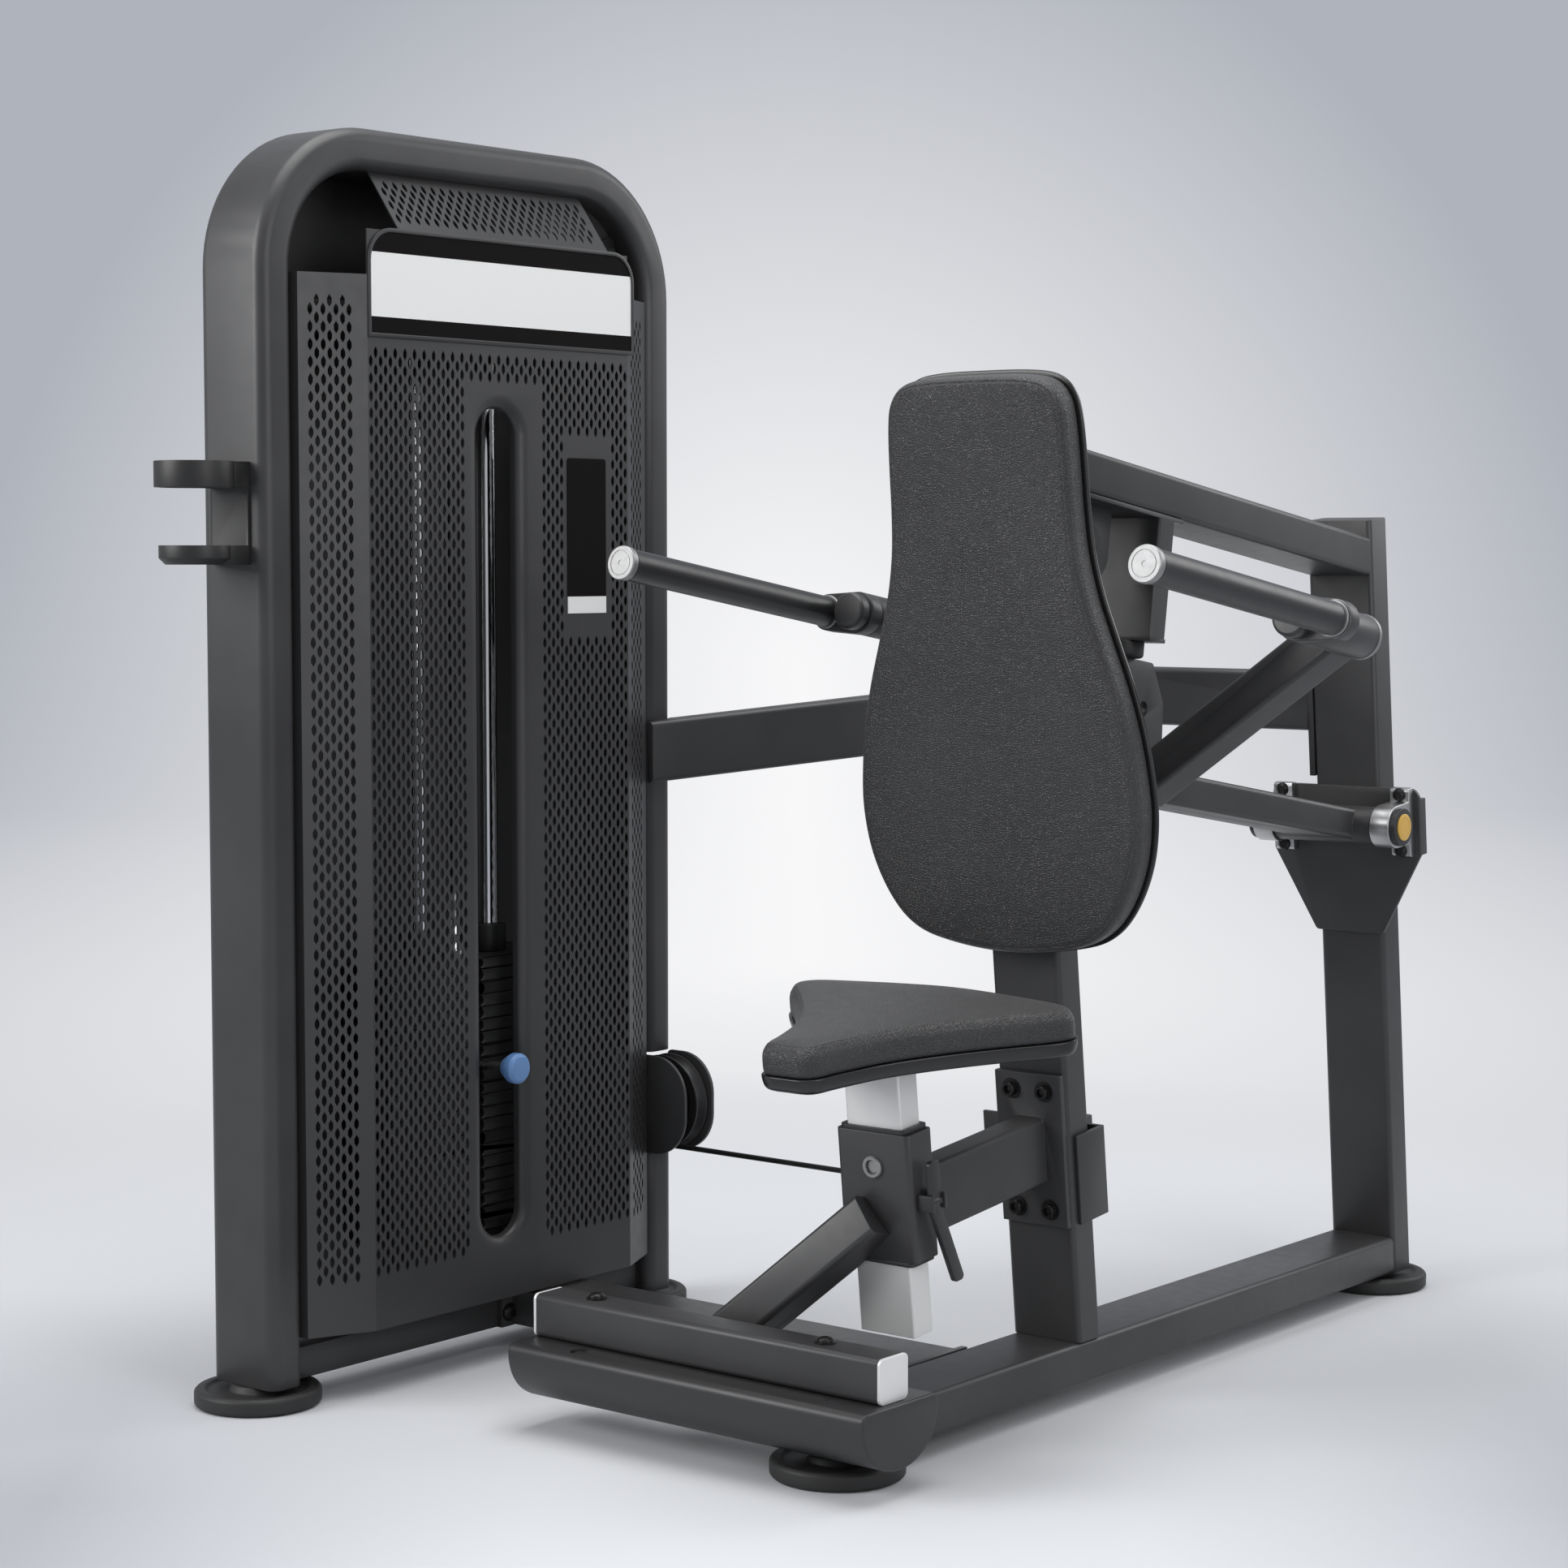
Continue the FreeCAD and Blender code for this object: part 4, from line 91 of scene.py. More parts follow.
class Value:
    """A number or colour that varies over a finish. Sums of values read as sums."""

    def __init__(self, tree, socket):
        self.tree = tree
        self.socket = socket

    def node(self, kind, settings, values, out=0):
        """Another node of the same finish: its settings first, then its inputs."""
        made = self.tree.nodes.new(kind)
        for key, value in settings.items():
            setattr(made, key, value)
        for key, value in values.items():
            if isinstance(value, Value):
                self.tree.links.new(value.socket, made.inputs[key])
            else:
                made.inputs[key].default_value = value
        return Value(self.tree, made.outputs[out])

    def sum(self, operation, other, swap=False):
        """One step of arithmetic on two values, as a Math node."""
        first, second = (other, self) if swap else (self, other)
        return self.node("ShaderNodeMath", {"operation": operation}, {0: first, 1: second})

    def __add__(self, other):
        return self.sum("ADD", other)

    __radd__ = __add__

    def __mul__(self, other):
        return self.sum("MULTIPLY", other)

    __rmul__ = __mul__

    def __sub__(self, other):
        return self.sum("SUBTRACT", other)

    def __rsub__(self, other):
        return self.sum("SUBTRACT", other, swap=True)

    def between(self, low, high):
        """0 at low, 1 at high, and clamped outside."""
        settings = {"clamp": True}
        return self.node("ShaderNodeMapRange", settings, {0: self, 1: low, 2: high, 3: 0.0, 4: 1.0})

    def mixed(self, dark, pale):
        """The first colour where the value is 0 and the second where it is 1."""
        return self.node("ShaderNodeMix", {"data_type": "RGBA"}, {0: self, 6: dark, 7: pale}, out=2)

    def noise(self, scale, detail=2.0, stretch=(1.0, 1.0, 1.0)):
        """Cloudy noise with this many cells a metre, drawn out along an axis by stretch."""
        turned = self.node("ShaderNodeMapping", {}, {"Vector": self, "Scale": stretch})
        return self.node("ShaderNodeTexNoise", {}, {"Vector": turned, "Scale": scale, "Detail": detail})

    def cells(self, scale):
        """Distance to the nearest border between cells, with this many cells a metre."""
        settings = {"feature": "DISTANCE_TO_EDGE"}
        return self.node("ShaderNodeTexVoronoi", settings, {"Vector": self, "Scale": scale})


def finish(name, colour, roughness, metallic=0.0, **sockets):
    """A new material with these uniform values, and the value that gives its place on the object."""
    material = bpy.data.materials.new(name)
    material.use_nodes = True
    shader = material.node_tree.nodes["Principled BSDF"]
    shader.inputs["Base Color"].default_value = (*colour, 1.0)
    shader.inputs["Roughness"].default_value = roughness
    shader.inputs["Metallic"].default_value = metallic
    for key, value in sockets.items():
        shader.inputs[key.replace("_", " ")].default_value = value
    place = material.node_tree.nodes.new("ShaderNodeTexCoord")
    return material, Value(material.node_tree, place.outputs["Object"])


def feed(material, socket, value):
    """Links a varying value to one socket of the finish."""
    shader = material.node_tree.nodes["Principled BSDF"]
    material.node_tree.links.new(value.socket, shader.inputs[socket])


def bumped(material, height, distance, strength=1.0):
    """Raises the surface by the height value, at most this many metres."""
    settings = {"Height": height, "Distance": distance, "Strength": strength}
    feed(material, "Normal", height.node("ShaderNodeBump", {}, settings))


# Floor and wall are one sheet of pale grey paper, swept up behind the machine. Away from the machine
# the paper glows with painted light, brightest low behind the machine and dimmer towards its sides,
# front and top. Near the machine the paper's colour carries painted shade, darker towards the front
# and the front corners.
FLOOR_HALF = 9.0
WALL_Y = 7.0
WALL_TOP = 9.0
SWEEP = 3.0
SWEEP_STEPS = 16

bpy.ops.object.select_all(action="DESELECT")
bpy.ops.mesh.primitive_plane_add(size=2 * FLOOR_HALF, location=(0, 0, 0))
floor = bpy.context.object
floor.name = "floor"
bpy.ops.object.mode_set(mode="EDIT")
bpy.ops.mesh.select_all(action="DESELECT")
bpy.ops.mesh.select_mode(type="EDGE")
sheet = bmesh.from_edit_mesh(floor.data)
for edge in sheet.edges:
    edge.select = all(vertex.co.y > WALL_Y for vertex in edge.verts)
bmesh.update_edit_mesh(floor.data)
for step in range(SWEEP_STEPS):
    turn = math.pi / 2 * (step + 0.5) / SWEEP_STEPS
    length = SWEEP * math.pi / 2 / SWEEP_STEPS
    move = (0, length * math.cos(turn), length * math.sin(turn))
    bpy.ops.mesh.extrude_region_move(TRANSFORM_OT_translate={"value": move})
bpy.ops.mesh.extrude_region_move(TRANSFORM_OT_translate={"value": (0, 0, WALL_TOP)})
bpy.ops.object.mode_set(mode="OBJECT")
bpy.ops.object.shade_smooth()
floor.rotation_euler.z = math.radians(EYE_TURN[2])
bpy.ops.object.transform_apply(location=True, rotation=True, scale=True)
PAPER = (0.60, 0.61, 0.63)
# The paper's two glow colours are painted light: pale where the glow is brightest, dim where it fades.
PAINTED_GLOW_PALE = (0.94, 0.94, 0.95, 1.0)
PAINTED_GLOW_DIM = (0.43, 0.45, 0.50, 1.0)
ROOM_BACK = (-0.6275, 0.7786, 0.0)
ROOM_SIDE = (0.7786, 0.6275, 0.0)
WALL_START = 4.5
GLOW_HEIGHT = 0.5
FLOOR_FADE = 0.52
GLOW_REACH = 3.75
SHADOW_NEAR = 1.0
SHADOW_FAR = 2.3
SHADOW_MIDDLE = (-0.3, 0.4, 0.0)
UP = (0.0, 0.0, 1.0)
# Painted shade: the colour the paper is darkened to towards the front and the front corners.
PAINTED_CORNER_SHADE = (0.36, 0.37, 0.40, 1.0)
CORNER_NEAR = 0.10
CORNER_FAR = 0.70
CORNER_DEPTH = 0.9
FRONT_START = -0.45
FRONT_REACH = 0.9
FRONT_SHARE = 0.75

paper, place = finish("paper", PAPER, 0.9)
feed(paper, "Roughness", place.noise(3.0) * 0.1 + 0.85)
tree = paper.node_tree
along, aside, rise = (
    place.node("ShaderNodeVectorMath", {"operation": "DOT_PRODUCT"}, {0: place, 1: axis}, out=1)
    for axis in (ROOM_BACK, ROOM_SIDE, UP))
# Painted light: away from the machine the paper glows, palest low on the wall behind the machine and
# dimmer towards its sides, its front and the top.
before = (WALL_START - along).sum("MAXIMUM", 0.0) * FLOOR_FADE
above = (rise - GLOW_HEIGHT).sum("MAXIMUM", 0.0)
reach = (before * before + aside * aside + above * above).sum("POWER", 0.5)
shade = reach.between(0.0, GLOW_REACH).mixed(PAINTED_GLOW_PALE, PAINTED_GLOW_DIM)
# Painted shade: the paper's own colour is darkened towards the front corners and towards the front.
corners = (aside * aside).between(CORNER_NEAR, CORNER_FAR) * (CORNER_DEPTH - along).between(0.0, 1.0)
front = (FRONT_START - along).between(0.0, FRONT_REACH) * FRONT_SHARE
painted_shade_share = corners.sum("MAXIMUM", front)
feed(paper, "Base Color", painted_shade_share.mixed((*PAPER, 1.0), PAINTED_CORNER_SHADE))
ground = place.node(
    "ShaderNodeVectorMath", {"operation": "DISTANCE"}, {0: place, 1: SHADOW_MIDDLE}, out=1)
light_path = tree.nodes.new("ShaderNodeLightPath")
direct, glossy, through = (
    Value(tree, light_path.outputs["Is %s Ray" % kind]) for kind in ("Camera", "Glossy", "Transmission"))
seen = (direct + glossy + through).between(0.0, 1.0)
painted_glow = tree.nodes.new("ShaderNodeEmission")
tree.links.new(shade.socket, painted_glow.inputs["Color"])
# Camera, glossy and transmitted rays see the painted glow away from the machine. Near the machine they
# see the lamp-lit paper, which keeps its real shadow.
both = tree.nodes.new("ShaderNodeMixShader")
tree.links.new((ground.between(SHADOW_NEAR, SHADOW_FAR) * seen).socket, both.inputs[0])
tree.links.new(tree.nodes["Principled BSDF"].outputs[0], both.inputs[1])
tree.links.new(painted_glow.outputs[0], both.inputs[2])
tree.links.new(both.outputs[0], tree.nodes["Material Output"].inputs["Surface"])
floor.data.materials.append(paper)


# Four large soft lamps hang over, beside and behind the machine, outside the picture, and a pale
# even sky fills the shade.
LAMP_AIM = Vector((-0.3, 0.4, 0.7))
LAMPS = {
    "lamp_top": ((-0.2, 0.2, 4.2), 3.2, 128),
    "lamp_left": ((-2.6, -3.6, 2.4), 2.4, 132),
    "lamp_right": ((4.0, -0.6, 1.9), 2.2, 48),
    "lamp_rear": ((1.5, 4.2, 2.8), 2.2, 50),
}
for name, (spot, size, power) in LAMPS.items():
    bpy.ops.object.light_add(type="AREA", location=spot)
    lamp = bpy.context.object
    lamp.name = name
    lamp.data.size = size
    lamp.data.energy = power
    lamp.rotation_euler = (LAMP_AIM - Vector(spot)).to_track_quat("-Z", "Y").to_euler()

world = bpy.data.worlds.new("studio")
world.use_nodes = True
bpy.context.scene.world = world
sky = world.node_tree.nodes["Background"]
sky.inputs["Color"].default_value = (0.80, 0.82, 0.86, 1.0)
sky.inputs["Strength"].default_value = 0.55


# The frame is welded from closed steel tube and powder coated in one go, dark grey and satin.
# The coat has a very fine peel, and is a little thinner and shinier along the corners.
COAT = (0.030, 0.030, 0.031)
COAT_WORN = (0.044, 0.044, 0.045)
COAT_EDGE = 0.0009
FRAME_PARTS = (
    "base_rail", "rear_upright", "upper_beam", "seat_column", "gusset_plate", "tower_frame", "hanger",
    "cross_tube", "rear_tie", "seat_brace", "seat_bracket", "arm_tube", "yoke_bars", "stop_lug",
    "column_pulley_bracket", "upper_pulley_bracket", "tower_pulley_plates", "pivot_housings", "foot_rest",
    "post_sleeve", "rear_cover",
)

coat, place = finish("powder_coat", COAT, 0.42, Specular_IOR_Level=0.5)
patches = place.noise(7.0, detail=3.0)
feed(coat, "Base Color", patches.between(0.35, 0.75).mixed((*COAT, 1.0), (*COAT_WORN, 1.0)))
feed(coat, "Roughness", place.noise(55.0, detail=4.0) * 0.12 + 0.36)
bumped(coat, place.noise(900.0, detail=2.0), 0.00010, 0.35)


def alone(piece):
    """Selects one piece and nothing else."""
    bpy.ops.object.select_all(action="DESELECT")
    piece.select_set(True)
    bpy.context.view_layer.objects.active = piece


def modified(piece, kind, **settings):
    """Gives a piece one modifier and applies it."""
    alone(piece)
    modifier = piece.modifiers.new("step", kind)
    for key, value in settings.items():
        setattr(modifier, key, value)
    bpy.ops.object.modifier_apply(modifier="step")


def dressed(piece, material, body, *nodes):
    """Gives a finished piece its material, its body, and the rigid pieces it stands for."""
    piece.data.materials.clear()
    piece.data.materials.append(material)
    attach(piece, body)
    if nodes:
        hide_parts(*nodes)
    return piece


def merged(node):
    """A copy of a rigid piece with its triangles merged."""
    piece = bpy.data.objects.new(node + "_piece", frame["nodes"][node].data.copy())
    bpy.context.scene.collection.objects.link(piece)
    alone(piece)
    bpy.ops.object.mode_set(mode="EDIT")
    bpy.ops.mesh.select_all(action="SELECT")
    bpy.ops.mesh.remove_doubles(threshold=0.00002)
    bpy.ops.mesh.dissolve_limited(angle_limit=math.radians(0.6))
    bpy.ops.object.mode_set(mode="OBJECT")
    return piece


ACUTE_PARTS = ("hanger", "rear_tie", "stop_lug", "cross_tube", "cup_holder")
EASE_ANGLE = math.radians(34.0)


def eased(node, edge, material, steps=2):
    """A copy of a rigid piece, merged, with its sharp edges eased, which takes its place.

    Parts with acute corners keep the bevel clamped, or it would run out past them in a spike.
    """
    piece = merged(node)
    modified(
        piece, "BEVEL", width=edge, segments=steps, use_clamp_overlap=node in ACUTE_PARTS,
        limit_method="ANGLE", angle_limit=EASE_ANGLE)
    bpy.ops.object.shade_smooth_by_angle(angle=EASE_ANGLE)
    return dressed(piece, material, frame["nodes"][node]["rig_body"], node)


def painted(piece, material, chosen):
    """Gives the faces whose middle is chosen another material."""
    piece.data.materials.append(material)
    slot = len(piece.data.materials) - 1
    for face in piece.data.polygons:
        if chosen(face.center):
            face.material_index = slot


for node in FRAME_PARTS:
    eased(node, COAT_EDGE, coat)


# The machine stands on four black rubber discs with a raised boss, each moulded with a rounded rim
# and bolted up into a tube from below. The buffers under the weights are of the same rubber.
rubber, place = finish("foot_rubber", (0.014, 0.014, 0.014), 0.55)
feed(rubber, "Roughness", place.noise(40.0, detail=3.0) * 0.15 + 0.48)
bumped(rubber, place.noise(700.0), 0.00012, 0.4)
eased("feet", 0.0016, rubber, steps=3)
eased("stack_cushions", 0.0015, rubber, steps=3)


# The weight guard is one folded sheet of coated steel, punched with upright hexagons in offset
# columns. The middle is flat, and a narrow strip is folded back on each side to the tower's legs.
GUARD = (0.036, 0.036, 0.037)
SHEET = 0.002
COLUMN_STEP = 0.00795
ROW_STEP = 0.01015
HOLE_HALF_WIDE = 0.0029
HOLE_HALF_TALL = 0.0075
HOLE_HALF_SIDE = 0.0027
INSET = 0.0008
PANEL_X = -0.628
PANEL_FRONT = -0.087
PANEL_REAR = 0.368
PANEL_TOP = 1.380
GUARD_BOTTOM = 0.080
SLOT_Y = 0.133
BLOCK_FRONT = 0.0765
BLOCK_REAR = 0.2035
BLOCK_TOP = 1.207
BARE_FRONT = 0.246
BARE_REAR = 0.333
BARE_LOW = 0.898
BARE_HIGH = 1.150

guard_coat, place = finish("guard_coat", GUARD, 0.40, metallic=0.2)
feed(guard_coat, "Base Color", place.noise(6.0, detail=3.0).between(0.3, 0.8).mixed(
    (*GUARD, 1.0), (0.046, 0.046, 0.047, 1.0)))
feed(guard_coat, "Roughness", place.noise(60.0, detail=3.0) * 0.12 + 0.34)
bumped(guard_coat, place.noise(800.0), 0.00008, 0.3)


def punched(name, corner, across, up, size, first, count, holed, missing=None, lip=None):
    """A flat guard sheet. First is the lowest hole's place, count its columns and half rows."""
    corner, across, up = Vector(corner), Vector(across), Vector(up)
    columns, rows = count
    sides = [first[0] + (step - 1) * COLUMN_STEP / 2 for step in range(2 * columns + 1)]
    rises = [first[1] + (step - 1) * ROW_STEP for step in range(rows + 2)]
    sides = [0.0] + sides + [size[0]]
    rises = [0.0] + rises + [size[1]]
    bpy.ops.object.select_all(action="DESELECT")
    bpy.ops.mesh.primitive_grid_add(
        x_subdivisions=len(sides) - 1, y_subdivisions=len(rises) - 1, size=2)
    piece = bpy.context.object
    piece.name = name
    bpy.ops.object.mode_set(mode="EDIT")
    bpy.ops.mesh.select_mode(type="VERT")
    bpy.ops.mesh.select_all(action="DESELECT")
    sheet = bmesh.from_edit_mesh(piece.data)
    for vertex in sheet.verts:
        column = round((vertex.co.x + 1) / 2 * (len(sides) - 1))
        row = round((vertex.co.y + 1) / 2 * (len(rises) - 1))
        side, rise = sides[column], rises[row]
        centre = column % 2 == 0 and 2 <= column <= 2 * columns and 2 <= row <= rows + 1
        if centre and (row + column // 2) % 2 == 1 and holed(side, rise):
            vertex.select_set(True)
        vertex.co = (side, rise, 0.0)
    bmesh.update_edit_mesh(piece.data)
    bpy.ops.mesh.dissolve_verts()
    bpy.ops.mesh.select_mode(type="FACE")
    bpy.ops.mesh.select_all(action="DESELECT")
    sheet = bmesh.from_edit_mesh(piece.data)
    if missing:
        for face in sheet.faces:
            middle = face.calc_center_median()
            face.select_set(len(face.verts) < 8 and missing(middle.x, middle.y))
        bmesh.update_edit_mesh(piece.data)
        bpy.ops.mesh.delete(type="FACE")
        sheet = bmesh.from_edit_mesh(piece.data)
    for face in sheet.faces:
        face.select_set(len(face.verts) == 8)
    bmesh.update_edit_mesh(piece.data)
    bpy.ops.mesh.inset(thickness=INSET, use_individual=True)
    sheet = bmesh.from_edit_mesh(piece.data)
    for face in sheet.faces:
        if not face.select:
            continue
        middle = face.calc_center_bounds()
        for vertex in face.verts:
            aside, above = vertex.co.x - middle.x, vertex.co.y - middle.y
            if abs(aside) < COLUMN_STEP / 8:
                aside, above = 0.0, math.copysign(HOLE_HALF_TALL, above)
            elif abs(above) < ROW_STEP / 4:
                aside, above = math.copysign(HOLE_HALF_WIDE, aside), 0.0
            else:
                aside = math.copysign(HOLE_HALF_WIDE, aside)
                above = math.copysign(HOLE_HALF_SIDE, above)
            vertex.co.x, vertex.co.y = middle.x + aside, middle.y + above
    bmesh.update_edit_mesh(piece.data)
    bpy.ops.mesh.delete(type="FACE")
    bpy.ops.mesh.select_mode(type="VERT")
    bpy.ops.mesh.select_all(action="DESELECT")
    sheet = bmesh.from_edit_mesh(piece.data)
    for vertex in sheet.verts:
        if lip:
            vertex.select_set(abs(vertex.co.x - lip[0]) < 1e-6)
        vertex.co = corner + across * vertex.co.x + up * vertex.co.y
    sheet.select_flush_mode()
    bmesh.update_edit_mesh(piece.data)
    if lip:
        bpy.ops.mesh.select_mode(type="EDGE")
        bpy.ops.mesh.extrude_edges_move(TRANSFORM_OT_translate={"value": lip[1]})
        bpy.ops.mesh.select_all(action="SELECT")
        bpy.ops.mesh.normals_make_consistent(inside=False)
    bpy.ops.object.mode_set(mode="OBJECT")
    return piece


def outward(piece, direction):
    """Turns an open sheet's faces to look along a direction, then gives the sheet its wall."""
    total = sum((face.normal * face.area for face in piece.data.polygons), Vector())
    if total.dot(Vector(direction)) < 0:
        alone(piece)
        bpy.ops.object.mode_set(mode="EDIT")
        bpy.ops.mesh.select_all(action="SELECT")
        bpy.ops.mesh.flip_normals()
        bpy.ops.object.mode_set(mode="OBJECT")
    modified(piece, "SOLIDIFY", thickness=SHEET, offset=-1.0)


def beside_slot(side, rise):
    """True where the middle sheet is punched: not round the slot, and not behind the small label."""
    y, z = PANEL_FRONT + side, GUARD_BOTTOM + rise
    if BLOCK_FRONT - COLUMN_STEP / 2 < y < BLOCK_REAR + COLUMN_STEP / 2 and z < BLOCK_TOP:
        return False
    return not (BARE_FRONT < y < BARE_REAR and BARE_LOW < z < BARE_HIGH)


FIRST_Y = -0.082
FIRST_Z = 0.151
MIDDLE_COUNT = (57, 108)
slot_low = FIRST_Y + (round((BLOCK_FRONT - FIRST_Y) / COLUMN_STEP) - 0.5) * COLUMN_STEP
slot_high = FIRST_Y + (round((BLOCK_REAR - FIRST_Y) / COLUMN_STEP) - 0.5) * COLUMN_STEP
slot_top = FIRST_Z + (round((BLOCK_TOP - FIRST_Z) / ROW_STEP) - 1) * ROW_STEP


def in_slot(side, rise):
    """True inside the rectangle that the slot's own plate fills."""
    y, z = PANEL_FRONT + side, GUARD_BOTTOM + rise
    return slot_low < y < slot_high and z < slot_top


middle_sheet = punched(
    "guard_middle", (PANEL_X, PANEL_FRONT, GUARD_BOTTOM), (0, 1, 0), (0, 0, 1),
    (PANEL_REAR - PANEL_FRONT, PANEL_TOP - GUARD_BOTTOM),
    (FIRST_Y - PANEL_FRONT, FIRST_Z - GUARD_BOTTOM), MIDDLE_COUNT, beside_slot, in_slot)
outward(middle_sheet, (1, 0, 0))
dressed(middle_sheet, guard_coat, "frame", "front_shroud", "slot_bezel")

STRIP_TOP = 1.327
STRIP_EDGE = -0.662
STRIP_FRONT = -0.165
STRIP_REAR = 0.440
STRIP_ROWS = 114
STRIP_FIRST_RISE = 0.068

front_run = Vector((PANEL_X - STRIP_EDGE, PANEL_FRONT - STRIP_FRONT, 0.0))
rear_run = Vector((STRIP_EDGE - PANEL_X, STRIP_REAR - PANEL_REAR, 0.0))
front_strip = punched(
    "guard_front_strip", (STRIP_EDGE, STRIP_FRONT, GUARD_BOTTOM), front_run.normalized(), (0, 0, 1),
    (front_run.length, STRIP_TOP - GUARD_BOTTOM), (0.015, STRIP_FIRST_RISE), (7, STRIP_ROWS),
    lambda side, rise: True, lip=(0.0, (-0.028, -0.002, 0.0)))
outward(front_strip, (1, -0.4, 0))
dressed(front_strip, guard_coat, "frame", "front_shroud")
rear_strip = punched(
    "guard_rear_strip", (PANEL_X, PANEL_REAR, GUARD_BOTTOM), rear_run.normalized(), (0, 0, 1),
    (rear_run.length, STRIP_TOP - GUARD_BOTTOM), (0.018, STRIP_FIRST_RISE), (6, STRIP_ROWS),
    lambda side, rise: True, lip=(rear_run.length, (-0.028, 0.006, 0.0)))
outward(rear_strip, (1, 0.4, 0))
dressed(rear_strip, guard_coat, "frame", "front_shroud")

# Above the sheet a punched hood slopes back to the tower's top tube and closes the guard.
hood_run = Vector((-0.052, 0.0, 0.072))
hood = punched(
    "guard_hood", (PANEL_X, -0.035, 1.382), (0, 1, 0), hood_run.normalized(),
    (0.367, hood_run.length), (0.010, 0.018), (44, 6), lambda side, rise: True)
outward(hood, (1, 0, 0.7))
dressed(hood, guard_coat, "frame", "shroud_hood")


# The selector slot is pressed into its own plain stretch of the sheet. Its edge is rolled inwards
# all round, so the pin's knob can run along it without catching.
SLOT_OUTER = 0.0515
SLOT_INNER = 0.0350
SLOT_LOW = 0.141
SLOT_HIGH = 1.196
ROLL_DEPTH = 0.010
RETURN_DEPTH = 0.016
ROLL_STEPS = 7


def facing_out():
    """Turns the faces of the form being edited outwards, and ends its editing."""
    bpy.ops.mesh.select_all(action="SELECT")
    bpy.ops.mesh.normals_make_consistent(inside=False)
    bpy.ops.object.mode_set(mode="OBJECT")


bpy.ops.object.select_all(action="DESELECT")
bpy.ops.mesh.primitive_circle_add(vertices=64, radius=SLOT_OUTER, location=(0, 0, 0))
slot_plate = bpy.context.object
slot_plate.name = "slot_plate"
bpy.ops.object.mode_set(mode="EDIT")
low_centre = SLOT_LOW + SLOT_OUTER
high_centre = SLOT_HIGH - SLOT_OUTER
outline = bmesh.from_edit_mesh(slot_plate.data)
for vertex in outline.verts:
    centre = high_centre if vertex.co.y > 0 else low_centre
    vertex.co = (PANEL_X, SLOT_Y + vertex.co.x, centre + vertex.co.y)
bmesh.update_edit_mesh(slot_plate.data)
bpy.ops.mesh.select_mode(type="EDGE")
bpy.ops.mesh.select_all(action="SELECT")
for step in range(1, ROLL_STEPS + 2):
    turn = math.pi / 2 * min(step, ROLL_STEPS) / ROLL_STEPS
    radius = SLOT_OUTER - (SLOT_OUTER - SLOT_INNER) * math.sin(turn)
    depth = ROLL_DEPTH * (1 - math.cos(turn)) if step <= ROLL_STEPS else RETURN_DEPTH
    bpy.ops.mesh.extrude_edges_move(TRANSFORM_OT_translate={"value": (0, 0, 0)})
    outline = bmesh.from_edit_mesh(slot_plate.data)
    for vertex in outline.verts:
        if vertex.select:
            middle = Vector((PANEL_X, SLOT_Y, max(low_centre, min(high_centre, vertex.co.z))))
            ray = (vertex.co - middle) * Vector((0, 1, 1))
            vertex.co = middle + ray.normalized() * radius + Vector((-depth, 0, 0))
    bmesh.update_edit_mesh(slot_plate.data)
bpy.ops.mesh.select_all(action="DESELECT")
bpy.ops.mesh.primitive_plane_add(size=2, location=(0, 0, 0))
outline = bmesh.from_edit_mesh(slot_plate.data)
for vertex in outline.verts:
    if vertex.select:
        side = slot_high if vertex.co.x > 0 else slot_low
        vertex.co = (PANEL_X, side, slot_top if vertex.co.y > 0 else GUARD_BOTTOM)
bmesh.update_edit_mesh(slot_plate.data)
bpy.ops.mesh.delete(type="ONLY_FACE")
bpy.ops.mesh.select_all(action="DESELECT")
outline = bmesh.from_edit_mesh(slot_plate.data)
for edge in outline.edges:
    flat = all(abs(vertex.co.x - PANEL_X) < 1e-6 for vertex in edge.verts)
    edge.select_set(flat and (edge.is_boundary or edge.is_wire))
bmesh.update_edit_mesh(slot_plate.data)
bpy.ops.mesh.fill()
facing_out()
outward(slot_plate, (1, 0, 0))
bpy.ops.object.shade_smooth_by_angle(angle=math.radians(30))
dressed(slot_plate, guard_coat, "frame", "slot_bezel")


# Two plain plates are bonded on the guard: a wide placard with a dark header and footer in a raised
# metal border, and a small upright one beside the slot. Both are left bare.
placard_white, place = finish("placard_white", (0.80, 0.80, 0.79), 0.5)
feed(placard_white, "Roughness", place.noise(30.0) * 0.1 + 0.45)
placard_dark, place = finish("placard_dark", (0.005, 0.004, 0.004), 0.6, Specular_IOR_Level=0.06)
feed(placard_dark, "Roughness", place.noise(30.0) * 0.1 + 0.55)
PLACARD_FRONT = -0.082
PLACARD_REAR = 0.374
PLACARD_LOW = 1.256
PLACARD_HIGH = 1.378
PLACARD_ROUND = 0.034
HEADER_LOW = 1.354
FOOTER_HIGH = 1.279
BORDER = 0.005
BORDER_RISE = 0.0022
BORDER_DROP = 0.001
PLATE_WALL = 0.001
LABEL_FRONT = 0.254
LABEL_REAR = 0.325
LABEL_LOW = 0.928
LABEL_HIGH = 1.122
LABEL_ROUND = 0.004
LABEL_WHITE_TOP = 0.949


